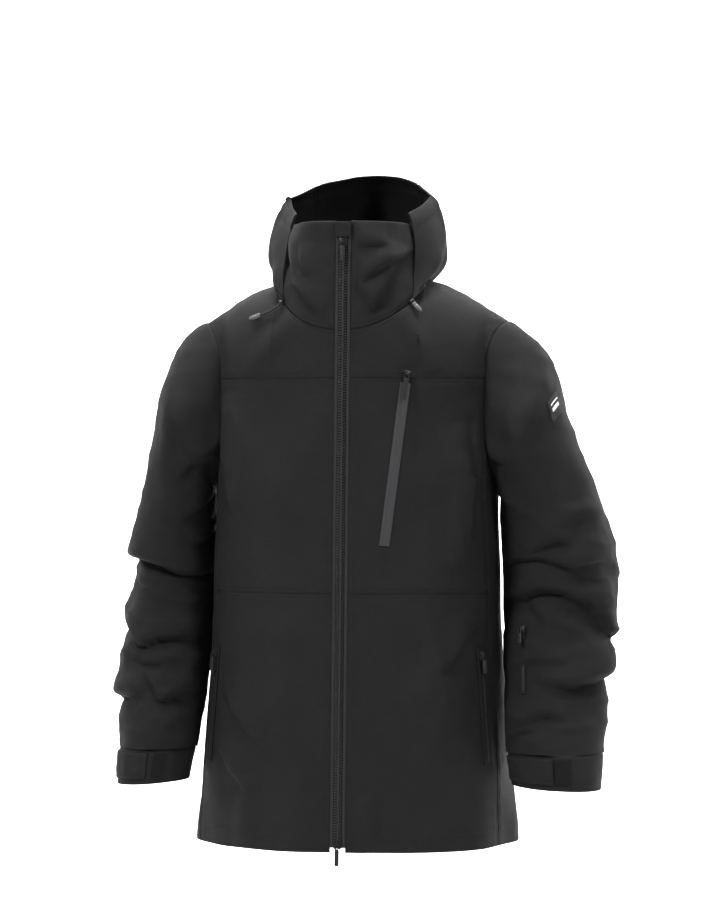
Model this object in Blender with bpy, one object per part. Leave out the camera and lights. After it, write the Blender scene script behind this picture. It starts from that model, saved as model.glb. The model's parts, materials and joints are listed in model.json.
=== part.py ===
"""Insulated ski jacket, as worn: body, collar, hood lying back, sleeves, zips, pockets and lining.

Metres, +Z up. X points to the wearer's left, the front faces -Y, and the origin is the middle of the
neck opening at the height of the back neck seam.
"""

import math

import bmesh
import bpy
from mathutils import Matrix, Vector

# Cloth layers: the outer shell, the space for insulation and pocket bags, then the lining.
SHELL = 0.003
BAG_DEPTH = 0.0042
BAG_TO_LINING = 0.0024
LINING_DEPTH = 0.0100
BAG_THICKNESS = LINING_DEPTH - BAG_DEPTH - BAG_TO_LINING
LINING_THICKNESS = 0.0016
SEAM_GAP = 0.0012
TOUCH_GAP = 0.0004
SKIN_GAP = 0.0008

# Heights of the seams and edges.
COLLAR_TOP_Z = 0.069
NECK_FRONT_DROP = 0.070
NECK_BACK_DROP = 0.012
YOKE_Z = -0.132
WAIST_Z = -0.408
HEM_Z = -0.734
SHOULDER_Z = -0.055
ARMHOLE_CORNER_Z = -0.215
UNDERARM_Z = -0.270

# Half widths and depths of the body.
CHEST_HALF_WIDTH = 0.186
WAIST_EASE = 0.004
HEM_FLARE = 0.021
SHOULDER_OVERHANG = 0.014
WAIST_HALF_WIDTH = CHEST_HALF_WIDTH + WAIST_EASE
HEM_HALF_WIDTH = CHEST_HALF_WIDTH + HEM_FLARE
SHOULDER_HALF_WIDTH = CHEST_HALF_WIDTH + SHOULDER_OVERHANG
FRONT_DEPTH = 0.128
FRONT_LEAN = 0.061
CHEST_BACK_DEPTH = 0.140
WAIST_BACK_DEPTH = 0.124
HEM_BACK_DEPTH = 0.140
BODY_SQUARENESS = 2.3
ARMHOLE_INSET = 0.012
NECK_HALF_WIDTH = 0.095
NECKLINE_SQUARENESS = 7.0
SHOULDER_CURVE = 1.2
SIDE_SEAM_ANGLE = math.radians(70)

# Collar and hood.
COLLAR_TOP_HALF_WIDTH = 0.080
COLLAR_BACK_DEPTH = 0.057
COLLAR_BACK_Z = 0.034
COLLAR_SQUARENESS = 2.6
COLLAR_THICKNESS = 0.0040
COLLAR_FOOT_INSET = 0.0035
COLLAR_FRONT_SHARE = 1.6
COLLAR_ZIP_ANGLE = 0.02
HOOD_STAND_OFF = 0.010
HOOD_FRONT_BASE_ANGLE = math.radians(62)
HOOD_FRONT_TOP_ANGLE = math.radians(42)
HOOD_SIDE_REACH = 0.122
HOOD_RIM_HALF_WIDTH = 0.096
HOOD_BACK_REACH = 0.205
HOOD_RIM_BACK_Y = 0.150
HOOD_RIM_BACK_Z = 0.150
HOOD_RIM_SIDE_Z = 0.112
HOOD_SEAM_ANGLE = math.radians(138)
HOOD_RIM_SIDE_Y = 0.020
HOOD_SIDE_BOW = 0.010
HOOD_RIM_ABOVE_COLLAR = 0.004
HOOD_ROLL = 1.28
HOOD_LOW_PULL_Z = (0.024, -0.052)
HOOD_HIGH_PULL_Z = (0.085, 0.050)
HOOD_FRONT_BULGE = Vector((0.006, -0.004, 0))

# Sleeves: widths across and front-to-back depths down the arm, from below the shoulder to the cuff end.
SLEEVE_CLEARANCE = 0.004
ELBOW_Z = -0.400
CUFF_TOP_Z = -0.612
CUFF_END_Z = -0.655
UPPER_WIDTHS = {"left": (0.112, 0.130, 0.146, 0.147), "right": (0.092, 0.104, 0.109, 0.108)}
LOWER_WIDTHS = {"left": (0.142, 0.133, 0.128, 0.124), "right": (0.114, 0.114, 0.105, 0.100)}
CUFF_WIDTH = {"left": 0.115, "right": 0.094}
CAP_REACH = {"left": 0.077, "right": 0.069}
UPPER_HALF_DEPTHS = (0.077, 0.075, 0.074, 0.074)
LOWER_HALF_DEPTHS = (0.071, 0.067, 0.063, 0.060)
CUFF_HALF_DEPTH = 0.056
ARMHOLE_HALF_DEPTH = 0.098
CAP_STATIONS = ((0.47, 0.025, 0.006, 0.0, 0.092), (0.80, 0.067, 0.014, 0.002, 0.086), (1.0, 0.120, 0.024, 0.004, 0.080))
UPPER_START_DROPS = (0.150, 0.030)
UPPER_START_Y = 0.005
UPPER_SHARES = (0.18, 0.45, 0.72, 1.0)
LOWER_SHARES = (0.28, 0.60, 0.86, 1.0)
UPPER_OUTER_CURVE = 0.9
FOREARM_CURVE = 1.3
CAP_BLEND = 2.2
ARMHOLE_CLEARANCE = 0.0018
ELBOW_Y = 0.016
CUFF_Y = -0.062
CUFF_SLANT = 0.003
CUFF_IN = 0.004
CUFF_FORWARD = 0.010
SLEEVE_WALL = 0.0035

# Zips.
TEETH_HALF_WIDTH = 0.0032
TEETH_THICKNESS = 0.0030
SLIDER_WALL = 0.0012
MAIN_TAPE_WIDTH = 0.0040
MAIN_TAPE_INNER = TEETH_HALF_WIDTH + SLIDER_WALL + 2 * TOUCH_GAP
MAIN_TAPE_OUTER = MAIN_TAPE_INNER + MAIN_TAPE_WIDTH
TAPE_THICKNESS = 0.0010
MAIN_ZIP_TOP_Z = 0.052
MAIN_ZIP_BOTTOM_Z = -0.729
TOP_SLIDER_Z = 0.043
SLIDER_LENGTH = 0.0110
MAIN_PULL_LENGTH = 0.026
BOTTOM_PULL_LENGTH = 0.028
CHEST_ZIP_TOP = (0.082, -0.128)
CHEST_ZIP_BOTTOM = (0.0560, -0.346)
CHEST_TAPE_WIDTH = 0.0130
CHEST_PULL_LENGTH = 0.034
CHEST_TAPE_START = 0.05
CHEST_FACE = Vector((0.25, -1, 0))
HAND_ZIP_TOP_Z = -0.478
HAND_ZIP_LENGTH = 0.150
HAND_ZIP_INSET = 0.020
HAND_TAPE_WIDTH = 0.0100
HAND_PULL_LENGTH = 0.024
HAND_FACE_X = 0.8
PASS_ZIP_TOP_Z = -0.446
PASS_ZIP_LENGTH = 0.095
PASS_TAPE_WIDTH = 0.0090
PASS_PULL_LENGTH = 0.020
PASS_ZIP_SHARE = 0.345
PASS_SLIDER_SHARE = 0.93
PULL_THICKNESS = 0.0022
PULL_BEVEL = 0.0006
PULL_HEAD = 0.0012
PULL_STAND_OFF = math.hypot(PULL_HEAD, PULL_THICKNESS / 2) + 2 * TOUCH_GAP
MAIN_PULL_WIDTH = 0.0065
POCKET_PULL_WIDTH = 0.0068
POCKET_SLIDER_WIDTH = 0.0084
SLIDER_BEVEL = 0.0008
SLIDER_HEIGHT = 0.0034
SLIDER_STAND_OFF = 0.0030
BOTTOM_SLIDER_RISE = 0.004


# Front closure and trims.
GARAGE_HALF_WIDTH = 0.0105
GARAGE_THICKNESS = 0.0024
GARAGE_BEVEL = 0.0005
FLAP_HALF_WIDTH = 0.0150
FLAP_THICKNESS = 0.0014
FLAP_DEPTH = 0.0056
FLAP_TOP_Z = 0.044
TAB_THICKNESS = 0.0016
CUFF_TAB_SHARES = {"left": (0.245, 0.470), "right": (0.020, 0.250)}
CUFF_TAB_SPAN = (0.12, 0.80)
BADGE_SHARES = (0.055, 0.145)
BADGE_SPAN = (0.335, 0.430)
SLEEVE_SIDES = 20
ELBOW_SEAM_SHARE = 0.05
HOOD_ADJUSTER_RISE = 0.62
HOOD_ADJUSTER_HALF = (0.010, 0.0035, 0.006)
HOOD_ADJUSTER_STAND_OFF = 0.0045
HOOD_ADJUSTER_BEVEL = 0.0012
HANGER_HALF = (0.026, 0.0090, 0.0025)
HANGER_STRAP = 0.0025
HANGER_INSET = 0.016
HANGER_DROP = 0.006
LINING_FRONT_X = 0.026
LINING_CLEARANCE = 0.004
POWDER_SKIRT_TOP_Z = -0.515
POWDER_SKIRT_LOW_Z = -0.600
POWDER_SKIRT_DEPTH = 0.0155
CHEST_BAG_MARGINS = (0.034, 0.030, 0.020, 0.014)
HAND_BAG_TO_FLAP = 0.028
HAND_BAG_MARGINS = (0.004, 0.030, 0.010)
SNAP_X = 0.034
SNAP_RADIUS = 0.0070
SNAP_THICKNESS = 0.0024
SNAP_STAND_OFF = 0.0030
EYELET_LENGTH = 0.0040
EYELET_RADIUS = 0.0035

# Cords.
CORD_DIAMETER = 0.0030
CORD_END_LENGTH = 0.016
CORD_END_TAPER = 0.7
CORD_END_DIAMETER = 0.0062
HOOD_CORD_ROUTE = ((-0.0870, -0.0935, -0.0345), (-0.0912, -0.0950, -0.0385), (-0.0960, -0.0952, -0.0418),
                   (-0.1012, -0.0948, -0.0446), (-0.1066, -0.0938, -0.0468), (-0.1130, -0.0924, -0.0488))

COLOURS = {
    "shell": (0.030, 0.030, 0.032), "lining": (0.012, 0.012, 0.013), "tape": (0.060, 0.060, 0.064),
    "teeth": (0.015, 0.015, 0.016), "metal": (0.020, 0.020, 0.021), "rubber": (0.018, 0.018, 0.019),
    "badge": (0.040, 0.040, 0.042), "cord": (0.030, 0.030, 0.031), "cord_end": (0.35, 0.35, 0.36),
}
ROUGHNESS = {"metal": 0.4, "rubber": 0.55, "teeth": 0.45, "cord_end": 0.5}
CLOTH_ROUGHNESS = 0.85
SHARP_ANGLE = math.radians(35)
SURFACE_STEP = 1e-3


# --- helpers -------------------------------------------------------------------------------------

def material(name):
    found = bpy.data.materials.get(name)
    if found:
        return found
    made = bpy.data.materials.new(name)
    made.use_nodes = True
    shader = made.node_tree.nodes["Principled BSDF"]
    shader.inputs["Base Color"].default_value = (*COLOURS[name], 1)
    shader.inputs["Roughness"].default_value = ROUGHNESS.get(name, CLOTH_ROUGHNESS)
    shader.inputs["Metallic"].default_value = 0.0
    return made


def mix(a, b, t):
    return a + (b - a) * t


def ease(t):
    t = min(1.0, max(0.0, t))
    return t * t * (3 - 2 * t)


def signed_power(value, power):
    return math.copysign(abs(value) ** power, value)


def through(stations, position):
    """Smooth value at a position through (position, value) stations in rising order."""
    if position <= stations[0][0]:
        return stations[0][1]
    for (low, a), (high, b) in zip(stations, stations[1:]):
        if position <= high:
            return mix(a, b, ease((position - low) / (high - low)))
    return stations[-1][1]


def catmull(values, position):
    """Value of a Catmull-Rom spline through values at 0, 1, 2 and so on."""
    last = len(values) - 1
    k = min(last - 1, max(0, int(position)))
    t = position - k
    a, b, c, d = (values[min(last, max(0, k + step))] for step in (-1, 0, 1, 2))
    return 0.5 * (2 * b + (c - a) * t + (2 * a - 5 * b + 4 * c - d) * t * t + (3 * b - a - 3 * c + d) * t ** 3)


def steps(count, low=0.0, high=1.0):
    return [mix(low, high, i / count) for i in range(count + 1)]


def finish(name, mesh_builder, slot, origin=(0, 0, 0)):
    """Makes a named object from a filled bmesh, with its origin at a given point."""
    bmesh.ops.recalc_face_normals(mesh_builder, faces=mesh_builder.faces)
    place = Matrix.Translation(Vector(origin))
    bmesh.ops.transform(mesh_builder, matrix=place.inverted(), verts=mesh_builder.verts)
    mesh = bpy.data.meshes.new(name)
    mesh_builder.to_mesh(mesh)
    mesh_builder.free()
    obj = bpy.data.objects.new(name, mesh)
    obj.location = origin
    mesh.materials.append(material(slot))
    mesh.shade_smooth()
    mesh.set_sharp_from_angle(angle=SHARP_ANGLE)
    bpy.context.scene.collection.objects.link(obj)
    return obj


def outward(surface, u, v, hand=1):
    """Unit normal of a surface whose u and v directions cross to the outside."""
    step = SURFACE_STEP
    along_u = surface(min(1, u + step), v) - surface(max(0, u - step), v)
    along_v = surface(u, min(1, v + step)) - surface(u, max(0, v - step))
    return (along_u.cross(along_v) * hand).normalized()


def sheet(name, surface, columns, rows, slot, depth=0.0, thickness=SHELL, hand=1, loop=False):
    """A closed sheet under a surface over the unit square: from depth to depth plus thickness."""
    made = bmesh.new()
    faces_of_sheet = []
    for level in (depth, depth + thickness):
        grid = []
        for v in rows:
            points = []
            for u in columns:
                points.append(made.verts.new(surface(u, v) - outward(surface, u, v, hand) * level))
            grid.append(points)
        faces_of_sheet.append(grid)
    outer, inner = faces_of_sheet
    last_row, last_column = len(rows) - 1, len(columns) - 1
    for i in range(last_row):
        for j in range(last_column + (1 if loop else 0)):
            k = (j + 1) % (last_column + 1)
            made.faces.new((outer[i][j], outer[i][k], outer[i + 1][k], outer[i + 1][j]))
            made.faces.new((inner[i][j], inner[i + 1][j], inner[i + 1][k], inner[i][k]))
        if not loop:
            for j in (0, last_column):
                made.faces.new((outer[i][j], outer[i + 1][j], inner[i + 1][j], inner[i][j]))
    for j in range(last_column + (1 if loop else 0)):
        k = (j + 1) % (last_column + 1)
        for i in (0, last_row):
            made.faces.new((outer[i][j], outer[i][k], inner[i][k], inner[i][j]))
    return finish(name, made, slot)


def block(name, centre, axes, half, slot, bevel=0.0, origin=None, hole=None):
    """A box on three unit axes, or a square tube along its third axis where hole gives its half sizes."""
    made = bmesh.new()
    frame = Matrix((axes[0], axes[1], axes[2])).transposed().to_4x4()
    frame.translation = centre
    if hole:
        loops = []
        for end in (-half[2], half[2]):
            for half_x, half_y in ((half[0], half[1]), hole):
                corners = ((-half_x, -half_y), (half_x, -half_y), (half_x, half_y), (-half_x, half_y))
                loops.append([made.verts.new((x, y, end)) for x, y in corners])
        outer_low, inner_low, outer_high, inner_high = loops
        for i in range(4):
            k = (i + 1) % 4
            made.faces.new((outer_low[i], outer_low[k], outer_high[k], outer_high[i]))
            made.faces.new((inner_low[i], inner_high[i], inner_high[k], inner_low[k]))
            made.faces.new((outer_low[i], inner_low[i], inner_low[k], outer_low[k]))
            made.faces.new((outer_high[i], outer_high[k], inner_high[k], inner_high[i]))
    else:
        bmesh.ops.create_cube(made, size=2)
        bmesh.ops.scale(made, vec=half, verts=made.verts)
        if bevel:
            bmesh.ops.bevel(made, geom=made.edges, offset=bevel, segments=1, affect="EDGES")
    bmesh.ops.transform(made, matrix=frame, verts=made.verts)
    return finish(name, made, slot, origin or centre)


# --- body surfaces -------------------------------------------------------------------------------

def front_line(z):
    """Y of the centre front, a straight line in side view so that the sliders run straight."""
    return -FRONT_DEPTH + FRONT_LEAN * (z - YOKE_Z)


def half_width(z):
    return through(((HEM_Z, HEM_HALF_WIDTH), (WAIST_Z, WAIST_HALF_WIDTH), (UNDERARM_Z, CHEST_HALF_WIDTH)), z)


def back_depth(z):
    return through(((HEM_Z, HEM_BACK_DEPTH), (WAIST_Z, WAIST_BACK_DEPTH), (YOKE_Z, CHEST_BACK_DEPTH)), z)


def body(angle, z):
    """Point of the body below the yoke seam: angle 0 is the centre front and 90 degrees the left side."""
    power = 2 / BODY_SQUARENESS
    depth = front_line(z) if math.cos(angle) > 0 else back_depth(z)
    return Vector((half_width(z) * signed_power(math.sin(angle), power),
                   abs(math.cos(angle)) ** power * depth, z))


def body_angle(x, z):
    """Angle at which the front of the body is x away from the middle."""
    return math.asin(min(1.0, (abs(x) / half_width(z)) ** (BODY_SQUARENESS / 2)))


def on_front(x, z):
    return body(math.copysign(body_angle(x, z), x), z)


def armhole_x():
    return CHEST_HALF_WIDTH - ARMHOLE_INSET


def side_seam_angle(z):
    """Where the front panel meets the side panel, and above the corner, the armhole."""
    armhole = body_angle(armhole_x(), YOKE_Z)
    return mix(armhole, SIDE_SEAM_ANGLE, ease((ARMHOLE_CORNER_Z - z) / (ARMHOLE_CORNER_Z - WAIST_Z)))


def front_part(low, high):
    """The left front between two heights, from the zip tape to the side seam or armhole."""
    def surface(u, v):
        z = mix(low, high, v)
        start = body_angle(MAIN_TAPE_OUTER + TOUCH_GAP, z)
        return body(mix(start, side_seam_angle(z) - SEAM_GAP / 2 / half_width(z), u), z)
    return surface


def back_part(low, high):
    def surface(u, v):
        z = mix(low, high, v)
        edge = math.pi - side_seam_angle(z) + SEAM_GAP / 2 / half_width(z)
        return body(mix(edge, 2 * math.pi - edge, u), z)
    return surface


def armhole_bottom(angle):
    """Height of the armhole's lower edge on the side panel."""
    corner = math.pi / 2 - side_seam_angle(ARMHOLE_CORNER_Z)
    off = min(1.0, abs(angle - math.pi / 2) / corner)
    return mix(UNDERARM_Z, ARMHOLE_CORNER_Z, off * off)


def side_part(u, v):
    """The left side panel, from the hem up to the armhole's lower edge."""
    start = side_seam_angle(ARMHOLE_CORNER_Z)
    top = armhole_bottom(mix(start, math.pi - start, u)) - SEAM_GAP / 2
    z = mix(HEM_Z, top, v)
    edge = side_seam_angle(z) + SEAM_GAP / 2 / half_width(z)
    return body(mix(edge, math.pi - edge, u), z)


def mirrored(surface):
    def other(u, v):
        point = surface(u, v)
        return Vector((-point.x, point.y, point.z))
    return other


def ridge(x):
    """Height of the shoulder line, level across the neck and falling to the shoulder point."""
    fall = max(0.0, abs(x) - NECK_HALF_WIDTH) / (SHOULDER_HALF_WIDTH - NECK_HALF_WIDTH)
    return SHOULDER_Z * fall ** SHOULDER_CURVE


def yoke_squareness(x, front):
    flat = NECKLINE_SQUARENESS if front else BODY_SQUARENESS
    return mix(flat, BODY_SQUARENESS, ease(abs(x) / NECK_HALF_WIDTH))


def yoke_depth(x, front):
    """Y of the yoke's lower edge at x, which is the body's own surface there."""
    inside = min(abs(x), armhole_x())
    angle = body_angle(inside, YOKE_Z)
    return body(angle if front else math.pi - angle, YOKE_Z).y


def yoke_point(x, turn, front):
    """Point of the yoke at x: turn 0 is its lower edge and turn 1 is the shoulder line."""
    squareness = yoke_squareness(x, front)
    quarter = turn * math.pi / 2
    z = mix(YOKE_Z, ridge(x), math.sin(quarter) ** (2 / squareness))
    lean = FRONT_LEAN * (z - YOKE_Z) if front else 0.0
    return Vector((x, (yoke_depth(x, front) + lean) * abs(math.cos(quarter)) ** (2 / squareness), z))


def neckline_z(x, front):
    drop = NECK_FRONT_DROP if front else NECK_BACK_DROP
    return -drop * math.sqrt(max(0.0, 1 - (x / NECK_HALF_WIDTH) ** 2))


def neckline_turn(x, front):
    if abs(x) >= NECK_HALF_WIDTH:
        return 1.0
    share = (neckline_z(x, front) - YOKE_Z) / (ridge(x) - YOKE_Z)
    return math.asin(min(1.0, share ** (yoke_squareness(x, front) / 2))) / (math.pi / 2)


def armhole_edge_x(turn):
    return mix(armhole_x(), SHOULDER_HALF_WIDTH, math.sin(turn * math.pi / 2) ** 2)


def yoke_part(front, first_x):
    """Half a yoke: u runs from the middle to the armhole, v from the yoke seam to neckline or shoulder."""
    def surface(u, v):
        inner = mix(first_x, NECK_HALF_WIDTH, min(1.0, 2 * u))
        half = yoke_squareness(inner, front) / 2
        height = ridge(inner) - YOKE_Z
        start = math.asin((SEAM_GAP / 2 / height) ** half) / (math.pi / 2)
        end = (neckline_turn(inner, front) if u < 0.5 else 1.0) - SEAM_GAP / 2 / FRONT_DEPTH
        turn = mix(start ** (1 / half), end ** (1 / half), v) ** half
        if u <= 0.5:
            return yoke_point(inner, turn, front)
        outer = armhole_edge_x(turn) - SEAM_GAP / 2
        return yoke_point(mix(NECK_HALF_WIDTH, outer, 2 * u - 1), turn, front)
    return surface


def neckline(angle):
    """Point of the neckline: angle 0 is the front and 90 degrees the left side."""
    front = math.cos(angle) > 0
    x = NECK_HALF_WIDTH * math.sin(angle)
    turn = neckline_turn(min(abs(x), NECK_HALF_WIDTH * 0.9999), front)
    point = yoke_point(abs(x), turn, front)
    return Vector((x, point.y, point.z))


def collar_top(angle):
    power = 2 / COLLAR_SQUARENESS
    depth = front_line(COLLAR_TOP_Z) if math.cos(angle) > 0 else COLLAR_BACK_DEPTH
    z = mix(COLLAR_BACK_Z, COLLAR_TOP_Z, ease((1 + math.cos(angle)) / 2 * COLLAR_FRONT_SHARE))
    return Vector((COLLAR_TOP_HALF_WIDTH * signed_power(math.sin(angle), power),
                   abs(math.cos(angle)) ** power * depth, z))


def collar(angle, height):
    """Point of the collar, whose foot stands just inside the neckline except at the zip."""
    low = neckline(angle)
    inset = COLLAR_FOOT_INSET * (abs(math.sin(angle)) if math.cos(angle) > 0 else 1)
    low -= Vector((math.sin(angle), -math.cos(angle), 0)) * inset
    return low.lerp(collar_top(angle), height)


def collar_part(u, v):
    """The left half of the collar, from the zip to the middle of the back."""
    height = mix(SEAM_GAP / (COLLAR_TOP_Z + NECK_FRONT_DROP), 1.0, v)
    start = math.asin((MAIN_TAPE_OUTER + TOUCH_GAP) / mix(NECK_HALF_WIDTH, COLLAR_TOP_HALF_WIDTH, height))
    start_top = math.asin(((MAIN_TAPE_OUTER + TOUCH_GAP) / COLLAR_TOP_HALF_WIDTH) ** (COLLAR_SQUARENESS / 2))
    first = mix(start, start_top, height) + COLLAR_ZIP_ANGLE
    last = math.pi - SEAM_GAP / 2 / NECK_HALF_WIDTH
    return collar(mix(first, last, u), height)


# --- hood surface --------------------------------------------------------------------------------

def hood_base(angle):
    low = neckline(angle)
    away = Vector((math.sin(angle), -math.cos(angle), 0)) * HOOD_STAND_OFF
    return low + away + Vector((0, 0, HOOD_STAND_OFF))


def hood(angle, rise):
    """Point of the hood lying back: angle as on the neckline, rise 0 at the neckline and 1 at the rim."""
    back = ease((angle - math.pi / 2) / (math.pi / 2))
    side = 1 - ease(abs(angle - math.pi / 2) / (math.pi / 2))
    front = ease((math.pi / 2 - angle) / (math.pi / 2 - HOOD_FRONT_TOP_ANGLE))
    start = hood_base(max(angle, HOOD_FRONT_BASE_ANGLE * front + angle * (1 - front)))
    sine, cosine = math.sin(angle), -math.cos(angle)
    top = collar_top(angle)
    rim_front = top + Vector((sine, -abs(cosine), 0)) * HOOD_STAND_OFF + Vector((0, 0, HOOD_RIM_ABOVE_COLLAR))
    rim_round = Vector((HOOD_RIM_HALF_WIDTH * abs(sine) ** 0.9, HOOD_RIM_BACK_Y * back + HOOD_RIM_SIDE_Y * side,
                        mix(HOOD_RIM_SIDE_Z, HOOD_RIM_BACK_Z, back)))
    rim = rim_round.lerp(rim_front, front)
    reach = Vector((HOOD_SIDE_REACH * abs(sine) ** 0.8, HOOD_BACK_REACH * back + HOOD_SIDE_BOW * side, 0))
    low_pull = Vector((mix(reach.x, start.x, 0.15), mix(reach.y, start.y, 0.3) * 1.02, mix(*HOOD_LOW_PULL_Z, back)))
    high_pull = Vector((reach.x * 1.04, reach.y * mix(1, HOOD_ROLL, back), mix(*HOOD_HIGH_PULL_Z, back)))
    low_pull = low_pull.lerp(start.lerp(rim, 0.33) + HOOD_FRONT_BULGE, front)
    high_pull = high_pull.lerp(start.lerp(rim, 0.66) + HOOD_FRONT_BULGE, front)
    t = rise
    return (start * (1 - t) ** 3 + low_pull * (3 * t * (1 - t) ** 2)
            + high_pull * (3 * t * t * (1 - t)) + rim * t ** 3)


def hood_half(first, last):
    def surface(u, v):
        return hood(mix(first, last, u), v)
    return surface


def hood_middle(u, v):
    edge = HOOD_SEAM_ANGLE + SEAM_GAP / 2 / HOOD_SIDE_REACH
    angle = mix(edge, 2 * math.pi - edge, u)
    if angle <= math.pi:
        return hood(angle, v)
    point = hood(2 * math.pi - angle, v)
    return Vector((-point.x, point.y, point.z))


# --- sleeves -------------------------------------------------------------------------------------

ARMHOLE_SAMPLES = 24


def armhole_loop():
    """The armhole's edge as points, from the shoulder point down the front, below the arm and up the back."""
    points = []
    for i in range(ARMHOLE_SAMPLES):
        turn = 1 - i / ARMHOLE_SAMPLES
        points.append(yoke_point(armhole_edge_x(turn), turn, True))
    for z in steps(ARMHOLE_SAMPLES // 2, YOKE_Z, ARMHOLE_CORNER_Z):
        points.append(body(side_seam_angle(z), z))
    corner = side_seam_angle(ARMHOLE_CORNER_Z)
    for angle in steps(ARMHOLE_SAMPLES, corner, math.pi - corner)[1:]:
        points.append(body(angle, armhole_bottom(angle)))
    for z in steps(ARMHOLE_SAMPLES // 2, ARMHOLE_CORNER_Z, YOKE_Z)[1:]:
        points.append(body(math.pi - side_seam_angle(z), z))
    for i in range(1, ARMHOLE_SAMPLES + 1):
        turn = i / ARMHOLE_SAMPLES
        points.append(yoke_point(armhole_edge_x(turn), turn, False))
    return points


def along_loop(points, share):
    """Point at a share of a closed loop's length."""
    spans = [(b - a).length for a, b in zip(points, points[1:])]
    target = share % 1.0 * sum(spans)
    for (a, b), span in zip(zip(points, points[1:]), spans):
        if target <= span:
            return a.lerp(b, target / span if span else 0)
        target -= span
    return points[-1].copy()


def sleeve_rings(side):
    """Rings down a left-hand sleeve as (outer x, z), (inner x, z), middle y and half depth."""
    reach = CAP_REACH[side]
    rings = [((SHOULDER_HALF_WIDTH, SHOULDER_Z), (CHEST_HALF_WIDTH, UNDERARM_Z), 0.0, ARMHOLE_HALF_DEPTH)]
    edge = half_width(UNDERARM_Z) + SLEEVE_CLEARANCE
    for share, outer_drop, inner_drop, middle, depth in CAP_STATIONS:
        rings.append(((SHOULDER_HALF_WIDTH + reach * share, SHOULDER_Z - outer_drop), (edge, UNDERARM_Z - inner_drop),
                      middle, depth))
    outer_start, inner_start = SHOULDER_Z - UPPER_START_DROPS[0], UNDERARM_Z - UPPER_START_DROPS[1]
    for width, share, depth in zip(UPPER_WIDTHS[side], UPPER_SHARES, UPPER_HALF_DEPTHS):
        inner_z = mix(inner_start, ELBOW_Z, share)
        outer_z = mix(outer_start, ELBOW_Z, share ** UPPER_OUTER_CURVE)
        edge = half_width(inner_z) + SLEEVE_CLEARANCE
        rings.append(((edge + width, outer_z), (edge, inner_z), mix(UPPER_START_Y, ELBOW_Y, share), depth))
    return rings


def lower_rings(side):
    """Rings from the elbow seam to the cuff's end."""
    rings = [sleeve_rings(side)[-1]]
    for width, share, depth in zip(LOWER_WIDTHS[side], LOWER_SHARES, LOWER_HALF_DEPTHS):
        z = mix(ELBOW_Z, CUFF_TOP_Z, share)
        edge = half_width(z) + SLEEVE_CLEARANCE
        rings.append(((edge + width, z), (edge, z), mix(ELBOW_Y, CUFF_Y, share ** FOREARM_CURVE), depth))
    edge = half_width(CUFF_END_Z) + SLEEVE_CLEARANCE + CUFF_IN
    rings.append(((edge + CUFF_WIDTH[side], CUFF_END_Z - CUFF_SLANT), (edge, CUFF_END_Z + CUFF_SLANT),
                  CUFF_Y - CUFF_FORWARD, CUFF_HALF_DEPTH))
    return rings


def ring_point(rings, share, position):
    """Point of a sleeve: share of the way round from the outer edge over the front, position down its rings."""
    outer_x = catmull([ring[0][0] for ring in rings], position)
    outer_z = catmull([ring[0][1] for ring in rings], position)
    inner_x = catmull([ring[1][0] for ring in rings], position)
    inner_z = catmull([ring[1][1] for ring in rings], position)
    middle_y = catmull([ring[2] for ring in rings], position)
    depth = catmull([ring[3] for ring in rings], position)
    angle = 2 * math.pi * share
    across = math.cos(angle) / 2
    return Vector(((outer_x + inner_x) / 2 + (outer_x - inner_x) * across,
                   middle_y - depth * math.sin(angle),
                   (outer_z + inner_z) / 2 + (outer_z - inner_z) * across))


LOOP = armhole_loop()


def upper_sleeve(side):
    rings = sleeve_rings(side)
    last = len(rings) - 1

    def surface(u, v):
        position = mix(0, last - ELBOW_SEAM_SHARE, v)
        point = ring_point(rings, u, position)
        blend = 1 - ease(position / CAP_BLEND)
        if blend > 0:
            start = ring_point(rings, u, 0)
            point += (along_loop(LOOP, u) - start) * blend
        return point + Vector((ARMHOLE_CLEARANCE, 0, 0)) * blend
    return surface


def lower_sleeve(side, low, high):
    rings = lower_rings(side)

    def surface(u, v):
        return ring_point(rings, u, mix(low, high, v))
    return surface


def patch_on(surface, u_range, v_range):
    def part(u, v):
        return surface(mix(*u_range, u), mix(*v_range, v))
    return part


# --- zips ----------------------------------------------------------------------------------------

def zip_frame(top, bottom, face):
    """Axes of a zip: across, out of the face, and along it upwards."""
    along = (top - bottom).normalized()
    out = (face - along * face.dot(along)).normalized()
    return along.cross(out) * -1, out, along


def ribbon(name, route, across, out, width, slot, depth, thickness):
    """A flat tape along route points, laid with its lower face at depth below them."""
    made = bmesh.new()
    rings = []
    for point in route:
        base = point - out * depth
        rings.append([made.verts.new(base + across * (width / 2 * x) + out * (thickness * y))
                      for x, y in ((-1, 0), (1, 0), (1, 1), (-1, 1))])
    for low, high in zip(rings, rings[1:]):
        for i in range(4):
            k = (i + 1) % 4
            made.faces.new((low[i], low[k], high[k], high[i]))
    made.faces.new(rings[0][::-1])
    made.faces.new(rings[-1])
    return finish(name, made, slot)


def pull_on(prefix, place, axes, slider_half_height, width, length):
    """A pull hinged in front of its slider, lying down along the zip."""
    across, out, along = axes
    pivot = place + out * (slider_half_height + PULL_STAND_OFF)
    centre = pivot - along * (length / 2 - PULL_HEAD)
    block(prefix + "_pull", centre, axes, (width / 2, PULL_THICKNESS / 2, length / 2), "rubber",
          bevel=PULL_BEVEL, origin=pivot)


def slider_and_pull(prefix, place, axes, pull_length):
    """A slider closed round both rows of teeth, with its pull."""
    hole = (TEETH_HALF_WIDTH + TOUCH_GAP, TEETH_THICKNESS / 2 + TOUCH_GAP)
    half = (hole[0] + SLIDER_WALL, hole[1] + SLIDER_WALL, SLIDER_LENGTH / 2)
    block(prefix + "_slider", place, axes, half, "metal", hole=hole)
    pull_on(prefix, place, axes, half[1], MAIN_PULL_WIDTH, pull_length)


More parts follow.
